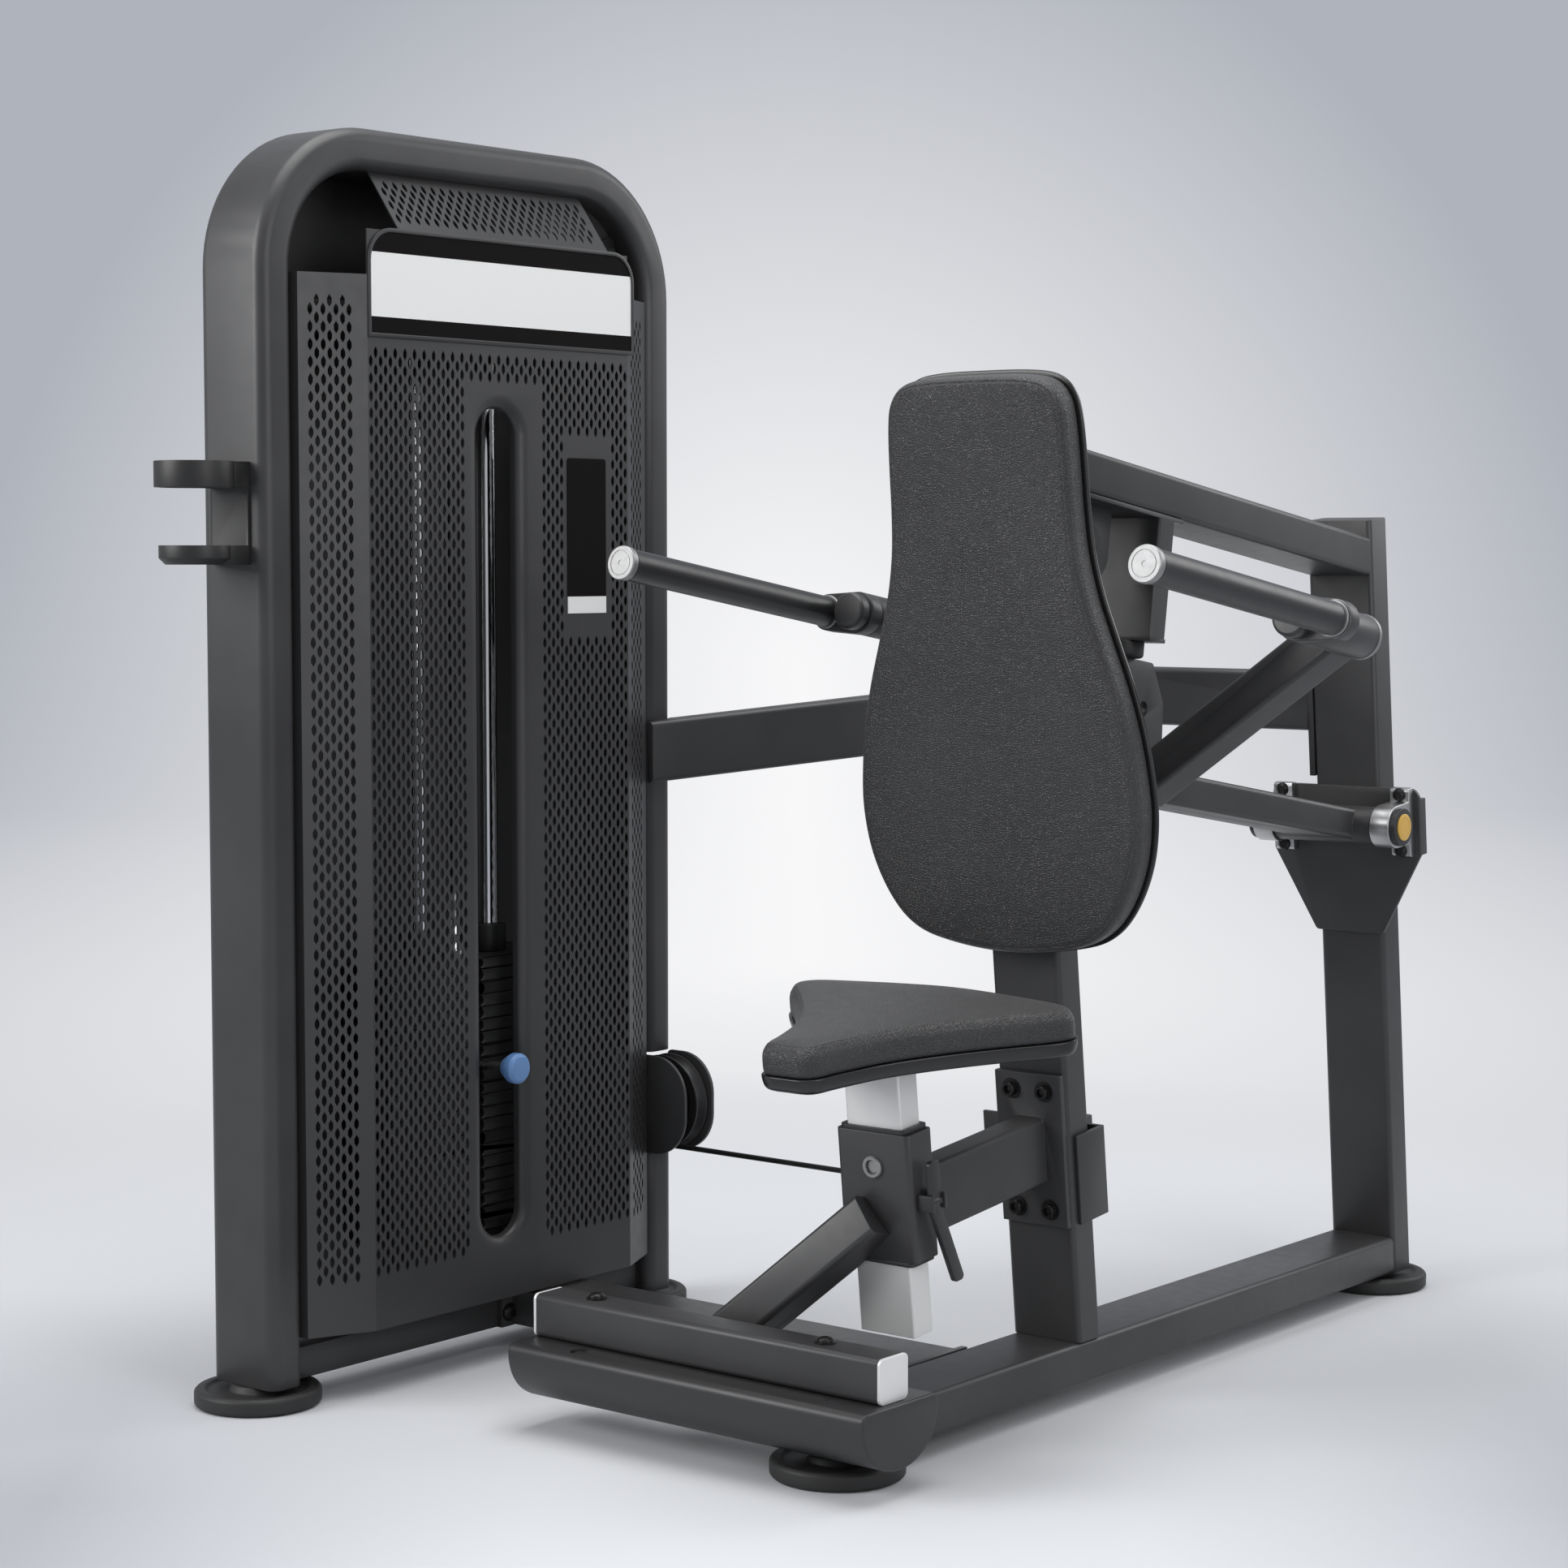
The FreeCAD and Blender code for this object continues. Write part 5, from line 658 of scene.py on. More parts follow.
def rounded_plate(name, front, rear, low, high, radius, x):
    """A flat upright plate with rounded upper corners, looking along X."""
    bpy.ops.object.select_all(action="DESELECT")
    bpy.ops.mesh.primitive_plane_add(size=1, location=(0, 0, 0))
    plate = bpy.context.object
    plate.name = name
    middle_y, middle_z = (front + rear) / 2, (low + high) / 2
    for vertex in plate.data.vertices:
        side, rise = vertex.co.x * (rear - front), vertex.co.y * (high - low)
        vertex.co = (x, middle_y + side, middle_z + rise)
    bpy.ops.object.mode_set(mode="EDIT")
    bpy.ops.mesh.select_mode(type="VERT")
    bpy.ops.mesh.select_all(action="DESELECT")
    outline = bmesh.from_edit_mesh(plate.data)
    for vertex in outline.verts:
        vertex.select_set(vertex.co.z > middle_z)
    outline.select_flush_mode()
    bmesh.update_edit_mesh(plate.data)
    bpy.ops.mesh.bevel(offset=radius, segments=10, affect="VERTICES", clamp_overlap=False)
    bpy.ops.object.mode_set(mode="OBJECT")
    return plate


def split_plate(plate, heights):
    """Divides a plate into bands at these heights, and gives it its wall."""
    bpy.ops.object.mode_set(mode="EDIT")
    for height in heights:
        bpy.ops.mesh.select_all(action="SELECT")
        bpy.ops.mesh.bisect(plane_co=(0, 0, height), plane_no=UP)
    bpy.ops.object.mode_set(mode="OBJECT")
    modified(plate, "SOLIDIFY", thickness=PLATE_WALL, offset=-1.0)


border = rounded_plate(
    "placard_border", PLACARD_FRONT - BORDER, PLACARD_REAR + BORDER, PLACARD_LOW - BORDER_DROP,
    PLACARD_HIGH + BORDER, PLACARD_ROUND + BORDER, PANEL_X + BORDER_RISE)
bpy.ops.object.mode_set(mode="EDIT")
bpy.ops.mesh.select_mode(type="FACE")
bpy.ops.mesh.select_all(action="SELECT")
bpy.ops.mesh.inset(thickness=BORDER)
bpy.ops.mesh.delete(type="FACE")
bpy.ops.object.mode_set(mode="OBJECT")
modified(border, "SOLIDIFY", thickness=BORDER_RISE, offset=-1.0)
modified(border, "BEVEL", width=0.0006, segments=2, limit_method="ANGLE", angle_limit=math.radians(40))
bpy.ops.object.shade_smooth_by_angle(angle=math.radians(35))
dressed(border, guard_coat, "frame", "guard_panels")

placard = rounded_plate(
    "placard", PLACARD_FRONT, PLACARD_REAR, PLACARD_LOW, PLACARD_HIGH, PLACARD_ROUND,
    PANEL_X + PLATE_WALL)
split_plate(placard, (FOOTER_HIGH, HEADER_LOW))
dressed(placard, placard_dark, "frame", "guard_panels")
painted(placard, placard_white, lambda middle: FOOTER_HIGH < middle.z < HEADER_LOW)

label = rounded_plate(
    "slot_label", LABEL_FRONT, LABEL_REAR, LABEL_LOW, LABEL_HIGH, LABEL_ROUND, PANEL_X + PLATE_WALL)
split_plate(label, (LABEL_WHITE_TOP,))
dressed(label, placard_dark, "frame", "guard_panels")
painted(label, placard_white, lambda middle: middle.z < LABEL_WHITE_TOP)


# The weight stack is black cast iron plates on two chromed rods. The steel stem carries the lifted
# plates, and a pin with a blue moulded knob picks the weight.
iron, place = finish("cast_iron", (0.010, 0.010, 0.010), 0.5)
feed(iron, "Roughness", place.noise(90.0, detail=4.0) * 0.2 + 0.4)
bumped(iron, place.noise(450.0, detail=3.0), 0.00015, 0.4)
chrome, place = finish("chrome", (0.78, 0.78, 0.79), 0.10, metallic=1.0)
feed(chrome, "Roughness", place.noise(20.0, stretch=(1.0, 1.0, 0.1)) * 0.08 + 0.07)
steel, place = finish("bright_steel", (0.55, 0.55, 0.55), 0.28, metallic=1.0)
feed(steel, "Roughness", place.noise(120.0, stretch=(1.0, 1.0, 0.1)) * 0.16 + 0.2)
eased("resting_plates", 0.0012, iron)
eased("lifted_plates", 0.0012, iron)
eased("head_plate", 0.0015, iron)
eased("guide_rods", 0.0008, chrome)
eased("selector_stem", 0.0006, steel)
knob_blue, place = finish("knob_blue", (0.13, 0.26, 0.52), 0.32)
feed(knob_blue, "Roughness", place.noise(40.0) * 0.12 + 0.28)
pin = eased("selector_pin", 0.0012, steel, steps=3)
KNOB_START_X = -0.632
painted(pin, knob_blue, lambda middle: middle.x > KNOB_START_X)


def disc(name, count, radius, height=0.0):
    """A flat filled disc with this many corners, over the origin."""
    bpy.ops.object.select_all(action="DESELECT")
    bpy.ops.mesh.primitive_circle_add(
        vertices=count, radius=radius, fill_type="NGON", location=(0, 0, height))
    piece = bpy.context.object
    piece.name = name
    return piece


def turned(name, profile, place, direction, material, body, nodes=(), count=48):
    """A piece turned on a lathe: (radius, height) points from its foot, along a direction."""
    radius, height = profile[0]
    piece = disc(name, count, radius, height)
    bpy.ops.object.mode_set(mode="EDIT")
    for wide, high in profile[1:]:
        bpy.ops.mesh.extrude_region_move(TRANSFORM_OT_translate={"value": (0, 0, high - height)})
        scale = wide / radius
        bpy.ops.transform.resize(value=(scale, scale, 1.0), center_override=(0, 0, high))
        radius, height = wide, high
    facing_out()
    piece.rotation_euler = Vector(direction).to_track_quat("Z", "Y").to_euler()
    piece.location = place
    bpy.ops.object.transform_apply(location=True, rotation=True, scale=True)
    bpy.ops.object.shade_smooth_by_angle(angle=math.radians(30))
    if material:
        dressed(piece, material, body, *nodes)
    return piece


# The cable runs over grooved nylon wheels, each on a steel axle between plates. A wheel has a rim,
# a thin web and a hub, and a button-headed axle bolt shows at its middle.
nylon, place = finish("pulley_nylon", (0.017, 0.017, 0.018), 0.38)
feed(nylon, "Roughness", place.noise(60.0) * 0.12 + 0.32)
bumped(nylon, place.noise(500.0), 0.00008, 0.3)
LEAN = math.radians(6.25)
COLUMN_BACK = Vector((0.0, math.cos(LEAN), math.sin(LEAN)))
WHEELS = {
    "tower_low_pulley": (0.062, (0, 1, 0)),
    "column_low_pulley": (0.062, COLUMN_BACK),
    "upper_pulley": (0.050, (1, 0, 0)),
    "top_pulley_stack": (0.050, (1, 0, 0)),
    "top_pulley_rear": (0.050, (1, 0, 0)),
}
for node, (radius, axis) in WHEELS.items():
    low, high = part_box(node)
    centre = (low + high) / 2
    groove = radius - 0.0088
    half = [
        (0.010, 0.0110), (0.016, 0.0110), (0.016, 0.0060), (radius - 0.015, 0.0060),
        (radius - 0.013, 0.0108), (radius - 0.001, 0.0108), (radius - 0.0002, 0.0100),
        (radius - 0.0004, 0.0088), (groove + 0.0012, 0.0036), (groove, 0.0014),
    ]
    profile = [(wide, -high) for wide, high in half] + [(wide, high) for wide, high in reversed(half)]
    turned(node + "_wheel", profile, centre, axis, nylon, frame["nodes"][node]["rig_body"], (node,))


# The cable is black coated steel wire. Its long run over the wheels is fixed in length; the run
# above the weights shortens as they rise, and the last run goes down to the arm's clevis.
wire, place = finish("cable_coat", (0.012, 0.012, 0.012), 0.34)
feed(wire, "Roughness", place.noise(80.0) * 0.12 + 0.28)
zinc, place = finish("zinc_plate", (0.42, 0.42, 0.41), 0.34, metallic=1.0)
feed(zinc, "Roughness", place.noise(70.0, detail=3.0) * 0.18 + 0.26)
frame["nodes"]["cable_run"].data.materials.clear()
frame["nodes"]["cable_run"].data.materials.append(wire)
CABLE = 0.0035
FERRULE_FOOT = (-0.72, 0.14, 0.5459)
low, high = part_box("cable_stack_run")
steps = [(CABLE, 0.001 + (high.z - low.z - 0.001) * step / 24) for step in range(25)]
stack_cable = turned(
    "stack_cable", [(CABLE * 0.7, 0.0)] + steps, ((low.x + high.x) / 2, (low.y + high.y) / 2, low.z),
    (0, 0, 1), None, None, count=20)
dressed(stack_cable, wire, "frame", "cable_stack_run")
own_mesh(stack_cable)
low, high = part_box("cable_arm_run")
steps = [(CABLE, (high.z - low.z) * step / 12) for step in range(13)]
arm_cable = turned(
    "arm_cable", [(CABLE * 0.7, -0.001)] + steps, (0, (low.y + high.y) / 2, low.z), (0, 0, 1),
    None, None, count=20)
arm_cable.data.materials.append(wire)
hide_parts("cable_arm_run")
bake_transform(arm_cable)
eased("cable_fork", 0.0008, zinc)
turned(
    "stack_ferrule", [(0.0050, 0.0), (0.0062, 0.001), (0.0062, 0.030), (0.0046, 0.034)],
    FERRULE_FOOT, (0, 0, 1), zinc, "stack")


# The cup holder is one black moulding: an open ring over a shallow tray, on a plate screwed to
# the tower's front leg. The arm's stop is a black rubber block under the beam's hanger.
cup_black, place = finish("cup_plastic", (0.012, 0.012, 0.012), 0.46)
feed(cup_black, "Roughness", place.noise(25.0, detail=3.0) * 0.12 + 0.40)
bumped(cup_black, place.noise(1100.0), 0.00006, 0.35)
eased("cup_holder", 0.0014, cup_black, steps=3)
eased("bumper", 0.0015, rubber, steps=3)


# The press arm turns in two bearing blocks cut from brushed aluminium extrusion. Each end of the
# axle is closed by a black ring round a plain amber disc.
PIVOT = Vector((0.0, 1.065, 0.645))
RING_START_X = 0.1021
DISC_X = 0.110

brushed, place = finish("brushed_aluminium", (0.50, 0.50, 0.50), 0.34, metallic=1.0)
feed(brushed, "Roughness", place.noise(260.0, stretch=(0.05, 1.0, 1.0)) * 0.2 + 0.25)
bumped(brushed, place.noise(900.0, stretch=(0.04, 1.0, 1.0)), 0.00006, 0.5)
eased("pillow_blocks", 0.0010, brushed, steps=3)
axle = eased("pivot_axle", 0.0012, steel, steps=3)
moulded, place = finish("moulded_plastic", (0.020, 0.020, 0.021), 0.42)
feed(moulded, "Roughness", place.noise(25.0, detail=3.0) * 0.12 + 0.36)
bumped(moulded, place.noise(1100.0), 0.00006, 0.35)
painted(axle, moulded, lambda middle: abs(middle.x) > RING_START_X)
amber, place = finish("amber_disc", (0.62, 0.38, 0.078), 0.3)
feed(amber, "Roughness", place.noise(60.0) * 0.12 + 0.25)
for name, side in (("right", 1), ("left", -1)):
    turned(
        "axle_disc_" + name,
        [(0.0175, -0.0010), (0.0175, 0.0006), (0.0168, 0.0010), (0.0125, 0.0010), (0.0122, 0.0006),
         (0.0116, 0.0006), (0.0113, 0.0010), (0.0010, 0.0011)],
        PIVOT + Vector((DISC_X * side, 0, 0)), (side, 0, 0), amber, "frame")


# Each handle swivels on a stub in the arm's housing. A flat crank joins the stub to a bar with a
# black sleeve grip, an aluminium collar behind it and a turned aluminium cap on its end.
ARM_TILT = math.radians(9.1)
FORWARD = Vector((0.0, -math.cos(ARM_TILT), math.sin(ARM_TILT)))
ARM_UP = Vector((0.0, math.sin(ARM_TILT), math.cos(ARM_TILT)))
HANDLE_RISE = 0.182
STUB_SIDE = 0.310
HOUSING_START = 0.5240
STUB_CAP_START = 0.6710
GRIP_SIDE = 0.355
BAR_START = 0.600
BAR_ROUND = 0.0222
CRANK_CLEAR = 0.068
GRIP_START = 0.6752
GRIP_CAP_START = 1.0504


def on_arm(side, along):
    """A point on a handle's level, at this distance along the arm from its pivot."""
    return PIVOT + Vector((side, 0, 0)) + FORWARD * along + ARM_UP * HANDLE_RISE


turned_metal, place = finish("turned_aluminium", (0.30, 0.30, 0.30), 0.50, metallic=0.8)
feed(turned_metal, "Roughness", place.noise(150.0) * 0.12 + 0.40)
grip_rubber, place = finish("grip_rubber", (0.016, 0.016, 0.017), 0.40)
feed(grip_rubber, "Roughness", place.noise(50.0, detail=3.0) * 0.14 + 0.34)
bumped(grip_rubber, place.noise(1300.0), 0.00008, 0.35)
for name, side in (("right", 1), ("left", -1)):
    crank = eased("crank_" + name, 0.0012, coat, steps=3)
    axis_start = on_arm(GRIP_SIDE * side, BAR_START)

    def on_grip(middle):
        """True on the bar under the grip, clear of the crank."""
        reach = middle - axis_start
        along = reach.dot(FORWARD)
        return (reach - FORWARD * along).length < BAR_ROUND and along > CRANK_CLEAR

    painted(crank, turned_metal, on_grip)
    body = name + "_handle"
    turned(
        "grip_sleeve_" + name,
        [(0.0170, 0.0), (0.0190, 0.0008), (0.0194, 0.003), (0.0190, 0.006), (0.0188, 0.010),
         (0.0188, 0.365), (0.0190, 0.369), (0.0194, 0.372), (0.0190, 0.3745), (0.0170, 0.3752)],
        on_arm(GRIP_SIDE * side, GRIP_START), FORWARD, grip_rubber, body, ("grip_" + name,))
    turned(
        "grip_cap_" + name,
        [(0.0195, 0.0), (0.0202, 0.0006), (0.0202, 0.0078), (0.0190, 0.0092), (0.0152, 0.0092),
         (0.0149, 0.0084), (0.0139, 0.0084), (0.0136, 0.0092), (0.0032, 0.0092), (0.0029, 0.0082),
         (0.0008, 0.0082)],
        on_arm(GRIP_SIDE * side, GRIP_CAP_START), FORWARD, turned_metal, body)
    turned(
        "stub_cap_" + name,
        [(0.0180, 0.0), (0.0195, 0.0006), (0.0195, 0.0050), (0.0185, 0.0062), (0.0110, 0.0062),
         (0.0105, 0.0052), (0.0010, 0.0052)],
        on_arm(STUB_SIDE * side, STUB_CAP_START), FORWARD, turned_metal, body)
    turned(
        "housing_ring_" + name,
        [(0.0225, 0.0), (0.0262, 0.0), (0.0266, 0.0008), (0.0266, 0.0050), (0.0262, 0.0056)],
        on_arm(STUB_SIDE * side, HOUSING_START), FORWARD * -1, turned_metal, "arm")


# The foot rest is a square tube bolted on a half-round front cover. The tube's ends are closed by
# brushed plates, and the cover is a dark moulding with a long shallow recess on top.
end_plate, place = finish("end_plate", (0.74, 0.74, 0.74), 0.36, metallic=0.35)
feed(end_plate, "Roughness", place.noise(240.0, stretch=(1.0, 1.0, 0.06)) * 0.14 + 0.30)
eased("foot_rest_ends", 0.0008, end_plate)
COVER_LEFT = -0.400
COVER_RIGHT = 0.112
COVER_MIDDLE_Y = -0.034
COVER_HALF = 0.067
COVER_TOP = 0.104
COVER_AXIS_Z = 0.094
COVER_DEPTH = 0.062
COVER_CORNER = 0.010
COVER_STEPS = 32
CORNER_STEPS = 5
BELLY_SHARE = 0.9
RECESS_ROUND = 0.0135
RECESS_DEPTH = 0.003
RECESS_Y = -0.0790
RECESS_RIGHT = 0.0315
RECESS_LEFT = -0.3045

section = []
for step in range(COVER_STEPS + 1):
    turn = math.pi * step / COVER_STEPS
    drop = COVER_DEPTH * math.sin(turn) ** BELLY_SHARE
    section.append((COVER_MIDDLE_Y + COVER_HALF * math.cos(turn), COVER_AXIS_Z - drop))
for side in (-1, 1):
    for step in range(1, CORNER_STEPS + 1):
        count = step if side < 0 else CORNER_STEPS - step
        turn = math.pi / 2 * count / CORNER_STEPS
        section.append((
            COVER_MIDDLE_Y + side * (COVER_HALF - COVER_CORNER * (1 - math.cos(turn))),
            COVER_AXIS_Z + COVER_CORNER * math.sin(turn)))
section.pop()
cover = disc("front_cover", len(section), 0.1)
for vertex, (y, z) in zip(cover.data.vertices, section):
    vertex.co = (COVER_LEFT, y, z)
bpy.ops.object.mode_set(mode="EDIT")
bpy.ops.mesh.select_all(action="SELECT")
bpy.ops.mesh.extrude_region_move(TRANSFORM_OT_translate={"value": (COVER_RIGHT - COVER_LEFT, 0, 0)})
facing_out()
recess = disc("cover_recess", 48, RECESS_ROUND, COVER_TOP - RECESS_DEPTH)
for vertex in recess.data.vertices:
    vertex.co.x += RECESS_RIGHT if vertex.co.x > 0 else RECESS_LEFT
    vertex.co.y += RECESS_Y
bpy.ops.object.mode_set(mode="EDIT")
bpy.ops.mesh.select_all(action="SELECT")
bpy.ops.mesh.extrude_region_move(TRANSFORM_OT_translate={"value": (0, 0, 0.01)})
facing_out()
bpy.ops.object.transform_apply(location=True, rotation=True, scale=True)
modified(cover, "BEVEL", width=0.0030, segments=4, limit_method="ANGLE", angle_limit=math.radians(50))
modified(cover, "BOOLEAN", operation="DIFFERENCE", object=recess, solver="EXACT")
bpy.data.objects.remove(recess)
bpy.ops.object.shade_smooth_by_angle(angle=math.radians(30))
dressed(cover, moulded, "frame", "front_housing")


# The seat slides on a flat silver tube in a coated sleeve. The sleeve has black liners at its ends,
# a bright ring round the latch's window, and a slim release lever at its side.
anodised, place = finish("anodised_tube", (0.72, 0.72, 0.71), 0.38, metallic=0.35)
feed(anodised, "Roughness", place.noise(220.0, stretch=(1.0, 1.0, 0.05)) * 0.14 + 0.26)
eased("seat_post", 0.0010, anodised)
eased("sleeve_trim", 0.0005, moulded)
eased("seat_lever", 0.0012, moulded, steps=3)
COLUMN_FOOT = Vector((0.0, 0.402, 0.075))
COLUMN_UP = Vector((0.0, -math.sin(LEAN), math.cos(LEAN)))


def on_column(side, back, rise):
    """A point in the leaning column's own directions, from the middle of its foot."""
    return COLUMN_FOOT + Vector((side, 0, 0)) + COLUMN_BACK * back + COLUMN_UP * rise


turned(
    "window_ring",
    [(0.0125, 0.0), (0.0125, 0.0030), (0.0115, 0.0042), (0.0085, 0.0042), (0.0080, 0.0030),
     (0.0080, 0.0006), (0.0010, 0.0004)],
    on_column(0.0, -0.3090, 0.2908), COLUMN_BACK * -1, turned_metal, "frame")


# The seat bracket is held by socket-head screws and the other joints by low button heads, all black
# and each on a plain washer.
black_oxide, place = finish("black_oxide", (0.020, 0.020, 0.020), 0.34, metallic=0.6)
feed(black_oxide, "Roughness", place.noise(90.0) * 0.15 + 0.28)
BUTTON_SCREW = [
    (0.0118, 0.0), (0.0118, 0.0014), (0.0090, 0.0015), (0.0090, 0.0030), (0.0083, 0.0050),
    (0.0066, 0.0064), (0.0042, 0.0068), (0.0040, 0.0040), (0.0008, 0.0038),
]
SOCKET_SCREW = [
    (0.0122, 0.0), (0.0122, 0.0016), (0.0085, 0.0017), (0.0085, 0.0082), (0.0079, 0.0090),
    (0.0050, 0.0090), (0.0047, 0.0040), (0.0008, 0.0038),
]
places = []
for side in (-0.3216, 0.0103):
    places.append((BUTTON_SCREW, Vector((side, -0.035, 0.154)), Vector((0, 0, 1))))
for side in (-0.023, 0.023):
    for rise in (0.1621, 0.3049):
        places.append((SOCKET_SCREW, on_column(side, -0.008, rise), COLUMN_BACK * -1))
for side in (0.1974, 0.3046):
    places.append((BUTTON_SCREW, Vector((-0.682, side, 0.043)), Vector((1, 0, 0))))
bolts = [
    turned("bolt_%d" % step, head, spot, axis, None, None, count=28)
    for step, (head, spot, axis) in enumerate(places)
]
alone(bolts[0])
for bolt in bolts:
    bolt.select_set(True)
bpy.ops.object.join()
bolts[0].name = "frame_bolt_heads"
dressed(bolts[0], black_oxide, "frame")
frame["nodes"]["frame_bolts"].data.materials.clear()
frame["nodes"]["frame_bolts"].data.materials.append(black_oxide)


# Seat and back are foam under charcoal leatherette, pulled tight over smooth black moulded shells.
# The cover is sewn along the face's edge. Each pad is drawn up from its outline ring by ring, then
# swollen a little by cloth pressure, with its foot held on the shell.
hide, place = finish("leatherette", (0.027, 0.027, 0.028), 0.46, Sheen_Weight=0.12, Sheen_Roughness=0.4)
grain = place.cells(400.0).between(0.0, 0.32)
creases = place.noise(9.0, detail=3.0)
tint = creases.between(0.3, 0.75).mixed((0.026, 0.026, 0.027, 1.0), (0.036, 0.036, 0.037, 1.0))
valleys = (1.0 - grain) * 0.45
feed(hide, "Base Color", valleys.mixed(tint, (0.008, 0.008, 0.008, 1.0)))
feed(hide, "Roughness", place.noise(70.0, detail=3.0) * 0.14 + 0.34)
bumped(hide, grain, 0.00045, 0.8)
shell_gloss, place = finish("shell_plastic", (0.012, 0.012, 0.012), 0.26)
feed(shell_gloss, "Roughness", place.noise(12.0) * 0.12 + 0.2)


CURVE_STEPS = 4
SIM_FRAMES = 12
SWELL = 0.0035
MERGE = 0.0004
MM = 0.001


def rounded_loop(half):
    """A smooth closed outline through points on one side of a pad, mirrored to the other."""
    loop = [Vector(point) for point in half]
    loop += [Vector((-side, rise)) for side, rise in reversed(half[1:-1])]
    drawn = []
    for step in range(len(loop)):
        before, first, last, after = (loop[(step + shift) % len(loop)] for shift in (-1, 0, 1, 2))
        for part in range(CURVE_STEPS):
            t = part / CURVE_STEPS
            drawn.append((
                first * 2 + (last - before) * t + (before * 2 - first * 5 + last * 4 - after) * t ** 2
                + (first * 3 - before - last * 3 + after) * t ** 3) / 2)
    return drawn


def grown(loop, wider):
    """The outline moved outwards by this much all round."""
    around = sum(loop[step - 1].cross(point) for step, point in enumerate(loop))
    outline = []
    for step, point in enumerate(loop):
        along = loop[(step + 1) % len(loop)] - loop[step - 1]
        aside = Vector((along.y, -along.x)).normalized() * math.copysign(1.0, around)
        outline.append(point + aside * wider)
    return outline


def raised_form(name, rings):
    """A closed form drawn up ring by ring, as by extruding and shaping an outline."""
    piece = disc(name, len(rings[0]), 0.1)
    for vertex, spot in zip(piece.data.vertices, rings[0]):
        vertex.co = spot
    bpy.ops.object.mode_set(mode="EDIT")
    bpy.ops.mesh.select_mode(type="FACE")
    bpy.ops.mesh.select_all(action="SELECT")
    for below, ring in zip(rings, rings[1:]):
        order = kdtree.KDTree(len(below))
        for step, spot in enumerate(below):
            order.insert(spot, step)
        order.balance()
        bpy.ops.mesh.extrude_region_move(TRANSFORM_OT_translate={"value": (0, 0, 0)})
        shape = bmesh.from_edit_mesh(piece.data)
        for vertex in shape.verts:
            if vertex.select:
                vertex.co = ring[order.find(vertex.co)[1]]
        bmesh.update_edit_mesh(piece.data)
    facing_out()
    return piece


def pad_rings(loop, plane, out, sides, face, spine, crown):
    """Rings up a pad's sides, then in over its face to a line along its middle."""
    rings = [[plane(*spot) + out * height for spot in grown(loop, wider)] for wider, height in sides]
    edge = grown(loop, sides[-1][0])
    for inward in face:
        ring = []
        for spot in edge:
            middle = Vector((0.0, max(spine[0], min(spine[1], spot.y))))
            height = sides[-1][1] + crown * (1 - (1 - inward) ** 2)
            ring.append(plane(*spot.lerp(middle, inward)) + out * height)
        rings.append(ring)
    return rings


def closed(piece, levels):
    """Merges a form along its middle line, turns it outwards and smooths it."""
    alone(piece)
    bpy.ops.object.mode_set(mode="EDIT")
    bpy.ops.mesh.select_all(action="SELECT")
    bpy.ops.mesh.remove_doubles(threshold=MERGE)
    facing_out()
    modified(piece, "SUBSURF", levels=levels, render_levels=levels)
    bpy.ops.object.shade_smooth()


def upholstered(name, node, rings, fixed, seams):
    """Swells a pad by cloth pressure, its foot held to the shell, and sews its seams in."""
    piece = raised_form(name, rings)
    count = len(rings[0])
    start = [vertex.co.copy() for vertex in piece.data.vertices]
    held = piece.vertex_groups.new(name="held")
    held.add(range(fixed * count), 1.0, "REPLACE")
    alone(piece)
    cloth = piece.modifiers.new("step", "CLOTH")
    cloth.settings.use_pressure = True
    cloth.settings.uniform_pressure_force = 4.0
    cloth.settings.vertex_group_mass = "held"
    cloth.settings.effector_weights.gravity = 0.0
    cloth.point_cache.frame_start = 1
    cloth.point_cache.frame_end = SIM_FRAMES
    for frame_number in range(1, SIM_FRAMES + 1):
        bpy.context.scene.frame_set(frame_number)
    bpy.ops.object.modifier_apply(modifier="step")
    bpy.context.scene.frame_set(1)
    for vertex, spot in zip(piece.data.vertices, start):
        moved = vertex.co - spot
        vertex.co = spot + moved * min(1.0, SWELL / max(moved.length, 1e-9))
    piece.vertex_groups.clear()
    for ring, depth in seams:
        normals = [vertex.normal.copy() for vertex in piece.data.vertices]
        for step in range(ring * count, (ring + 1) * count):
            piece.data.vertices[step].co -= normals[step] * depth
    closed(piece, 2)
    dressed(piece, hide, frame["nodes"][node]["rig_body"], node)


SEAT_SLOPE = 0.109
SEAT_SEAM_Z = 0.468
SEAT_SEAM_Y = 0.090
BACK_SLOPE = 0.11
BACK_FACE_Y = 0.245
BACK_FACE_Z = 1.113


def seat_plane(side, front):
    """A point in the seat's sloping plane, level with the seam between pad and pan."""
    return Vector((side, front, SEAT_SEAM_Z + SEAT_SLOPE * (front - SEAT_SEAM_Y)))


def back_plane(side, rise):
    """A point in the plane of the back pad's face."""
    return Vector((side, BACK_FACE_Y + BACK_SLOPE * (BACK_FACE_Z - rise), rise))


def millimetres(pairs):
    """Pairs of millimetres as pairs of metres."""
    return [(wide * MM, high * MM) for wide, high in pairs]


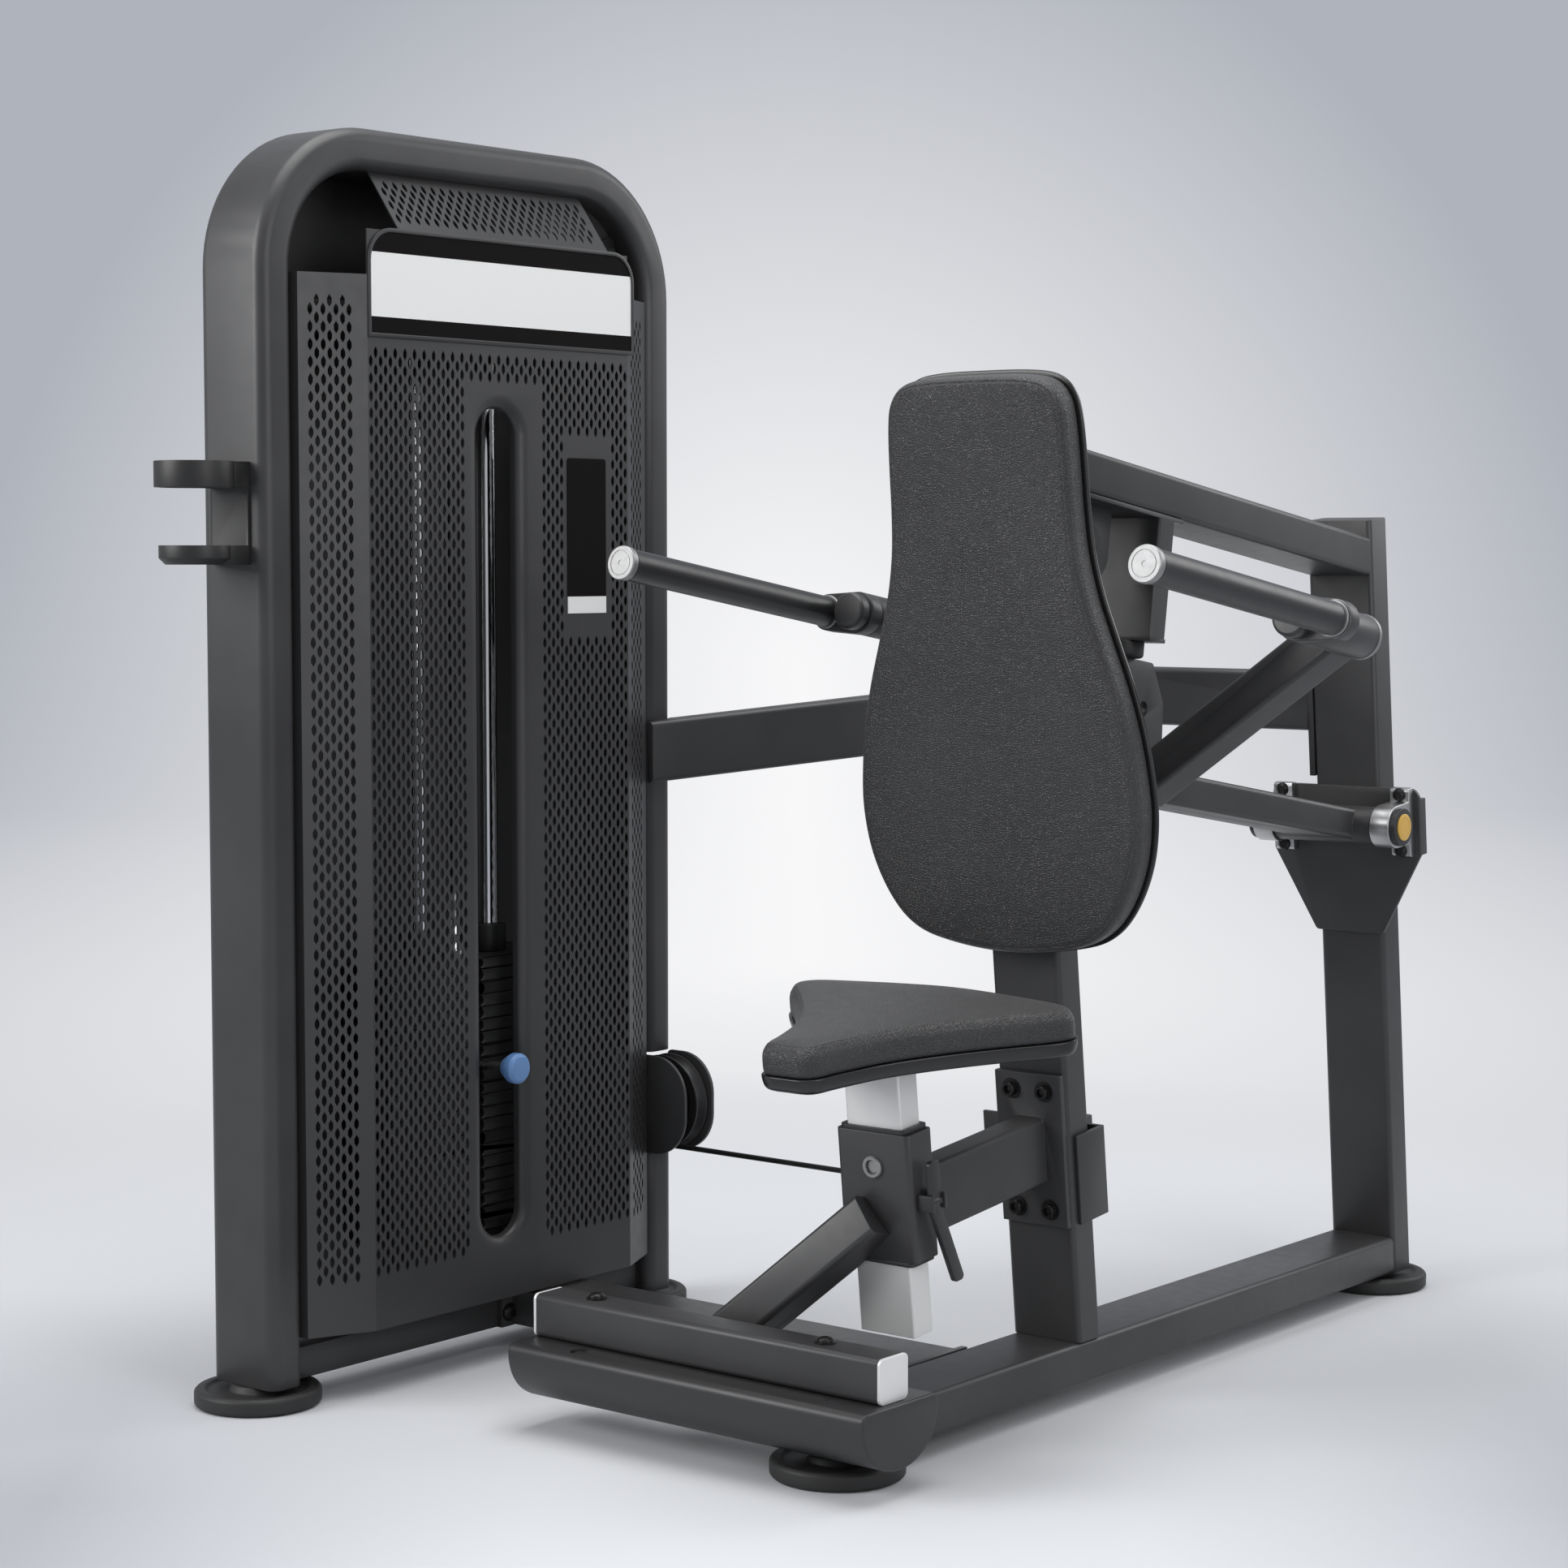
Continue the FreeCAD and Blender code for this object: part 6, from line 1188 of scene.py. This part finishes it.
SEAT_HALF = [
    (0.0, -0.086), (0.018, -0.086), (0.030, -0.080), (0.036, -0.058), (0.045, -0.030), (0.055, -0.004),
    (0.068, 0.020), (0.088, 0.050), (0.110, 0.078), (0.132, 0.103), (0.152, 0.124), (0.170, 0.142),
    (0.182, 0.157), (0.185, 0.169), (0.177, 0.180), (0.162, 0.187), (0.130, 0.194), (0.070, 0.205),
    (0.0, 0.212),
]
BACK_HALF = [
    (0.0, 1.197), (0.060, 1.196), (0.096, 1.190), (0.113, 1.172), (0.1185, 1.145), (0.1205, 1.100),
    (0.1215, 1.050), (0.125, 1.000), (0.135, 0.950), (0.151, 0.900), (0.168, 0.848), (0.180, 0.800),
    (0.187, 0.755), (0.190, 0.708), (0.184, 0.661), (0.170, 0.622), (0.150, 0.590), (0.128, 0.570),
    (0.100, 0.558), (0.050, 0.549), (0.0, 0.546),
]
SEAT_UP = Vector((0.0, -0.1084, 0.9941))
BACK_OUT = COLUMN_BACK * -1
SEAT_SPINE = (-0.060, 0.165)
BACK_SPINE = (0.640, 1.150)
FACE_STEPS = (0.06, 0.16, 0.30, 0.46, 0.62, 0.78, 0.90, 1.0)
seat_loop = rounded_loop(SEAT_HALF)
back_loop = rounded_loop(BACK_HALF)
SEAT_SIDES = millimetres([
    (3.0, 0.5), (5.5, 0.8), (7.0, 2.5), (7.4, 8.0), (7.4, 15.0), (7.2, 20.5), (6.8, 23.0),
    (6.0, 24.8), (3.2, 29.2), (0.8, 32.4), (0.0, 33.2), (-1.2, 33.8),
])
BACK_SIDES = millimetres([
    (-1.0, -34.0), (2.5, -33.5), (3.6, -31.0), (4.0, -24.0), (4.0, -15.0), (3.8, -10.5),
    (3.4, -8.6), (2.8, -7.0), (0.6, -3.4), (-1.6, -1.5), (-2.6, -1.0), (-4.0, -0.6),
])
upholstered(
    "seat_cushion", "seat_pad",
    pad_rings(seat_loop, seat_plane, SEAT_UP, SEAT_SIDES, FACE_STEPS, SEAT_SPINE, 2.5 * MM), 3,
    [(10, 1.4 * MM), (6, 0.5 * MM)])
upholstered(
    "back_cushion", "back_pad",
    pad_rings(back_loop, back_plane, BACK_OUT, BACK_SIDES, FACE_STEPS, BACK_SPINE, 4.0 * MM), 3,
    [(10, 1.6 * MM), (6, 0.5 * MM)])
SHELL_FACE = (0.5, 1.0)
TRAY_SIDES = millimetres([
    (-8.0, -18.5), (0.0, -18.2), (4.6, -16.4), (7.8, -12.2), (9.2, -6.0), (9.6, -1.6), (9.4, -0.4),
    (8.6, 0.0), (6.0, 0.1),
])
SHELL_SIDES = millimetres([
    (-12.0, -45.0), (0.0, -44.6), (5.0, -43.0), (8.0, -40.0), (8.2, -37.0), (7.9, -35.4),
    (7.2, -34.6), (5.0, -34.3),
])
for name, node, loop, plane, out, spine, sides in (
    ("seat_tray", "seat_pan", seat_loop, seat_plane, SEAT_UP, SEAT_SPINE, TRAY_SIDES),
    ("rear_shell", "back_shell", back_loop, back_plane, BACK_OUT, BACK_SPINE, SHELL_SIDES),
):
    shell = raised_form(name, pad_rings(loop, plane, out, sides, SHELL_FACE, spine, 0.0))
    closed(shell, 1)
    dressed(shell, shell_gloss, frame["nodes"][node]["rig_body"], node)
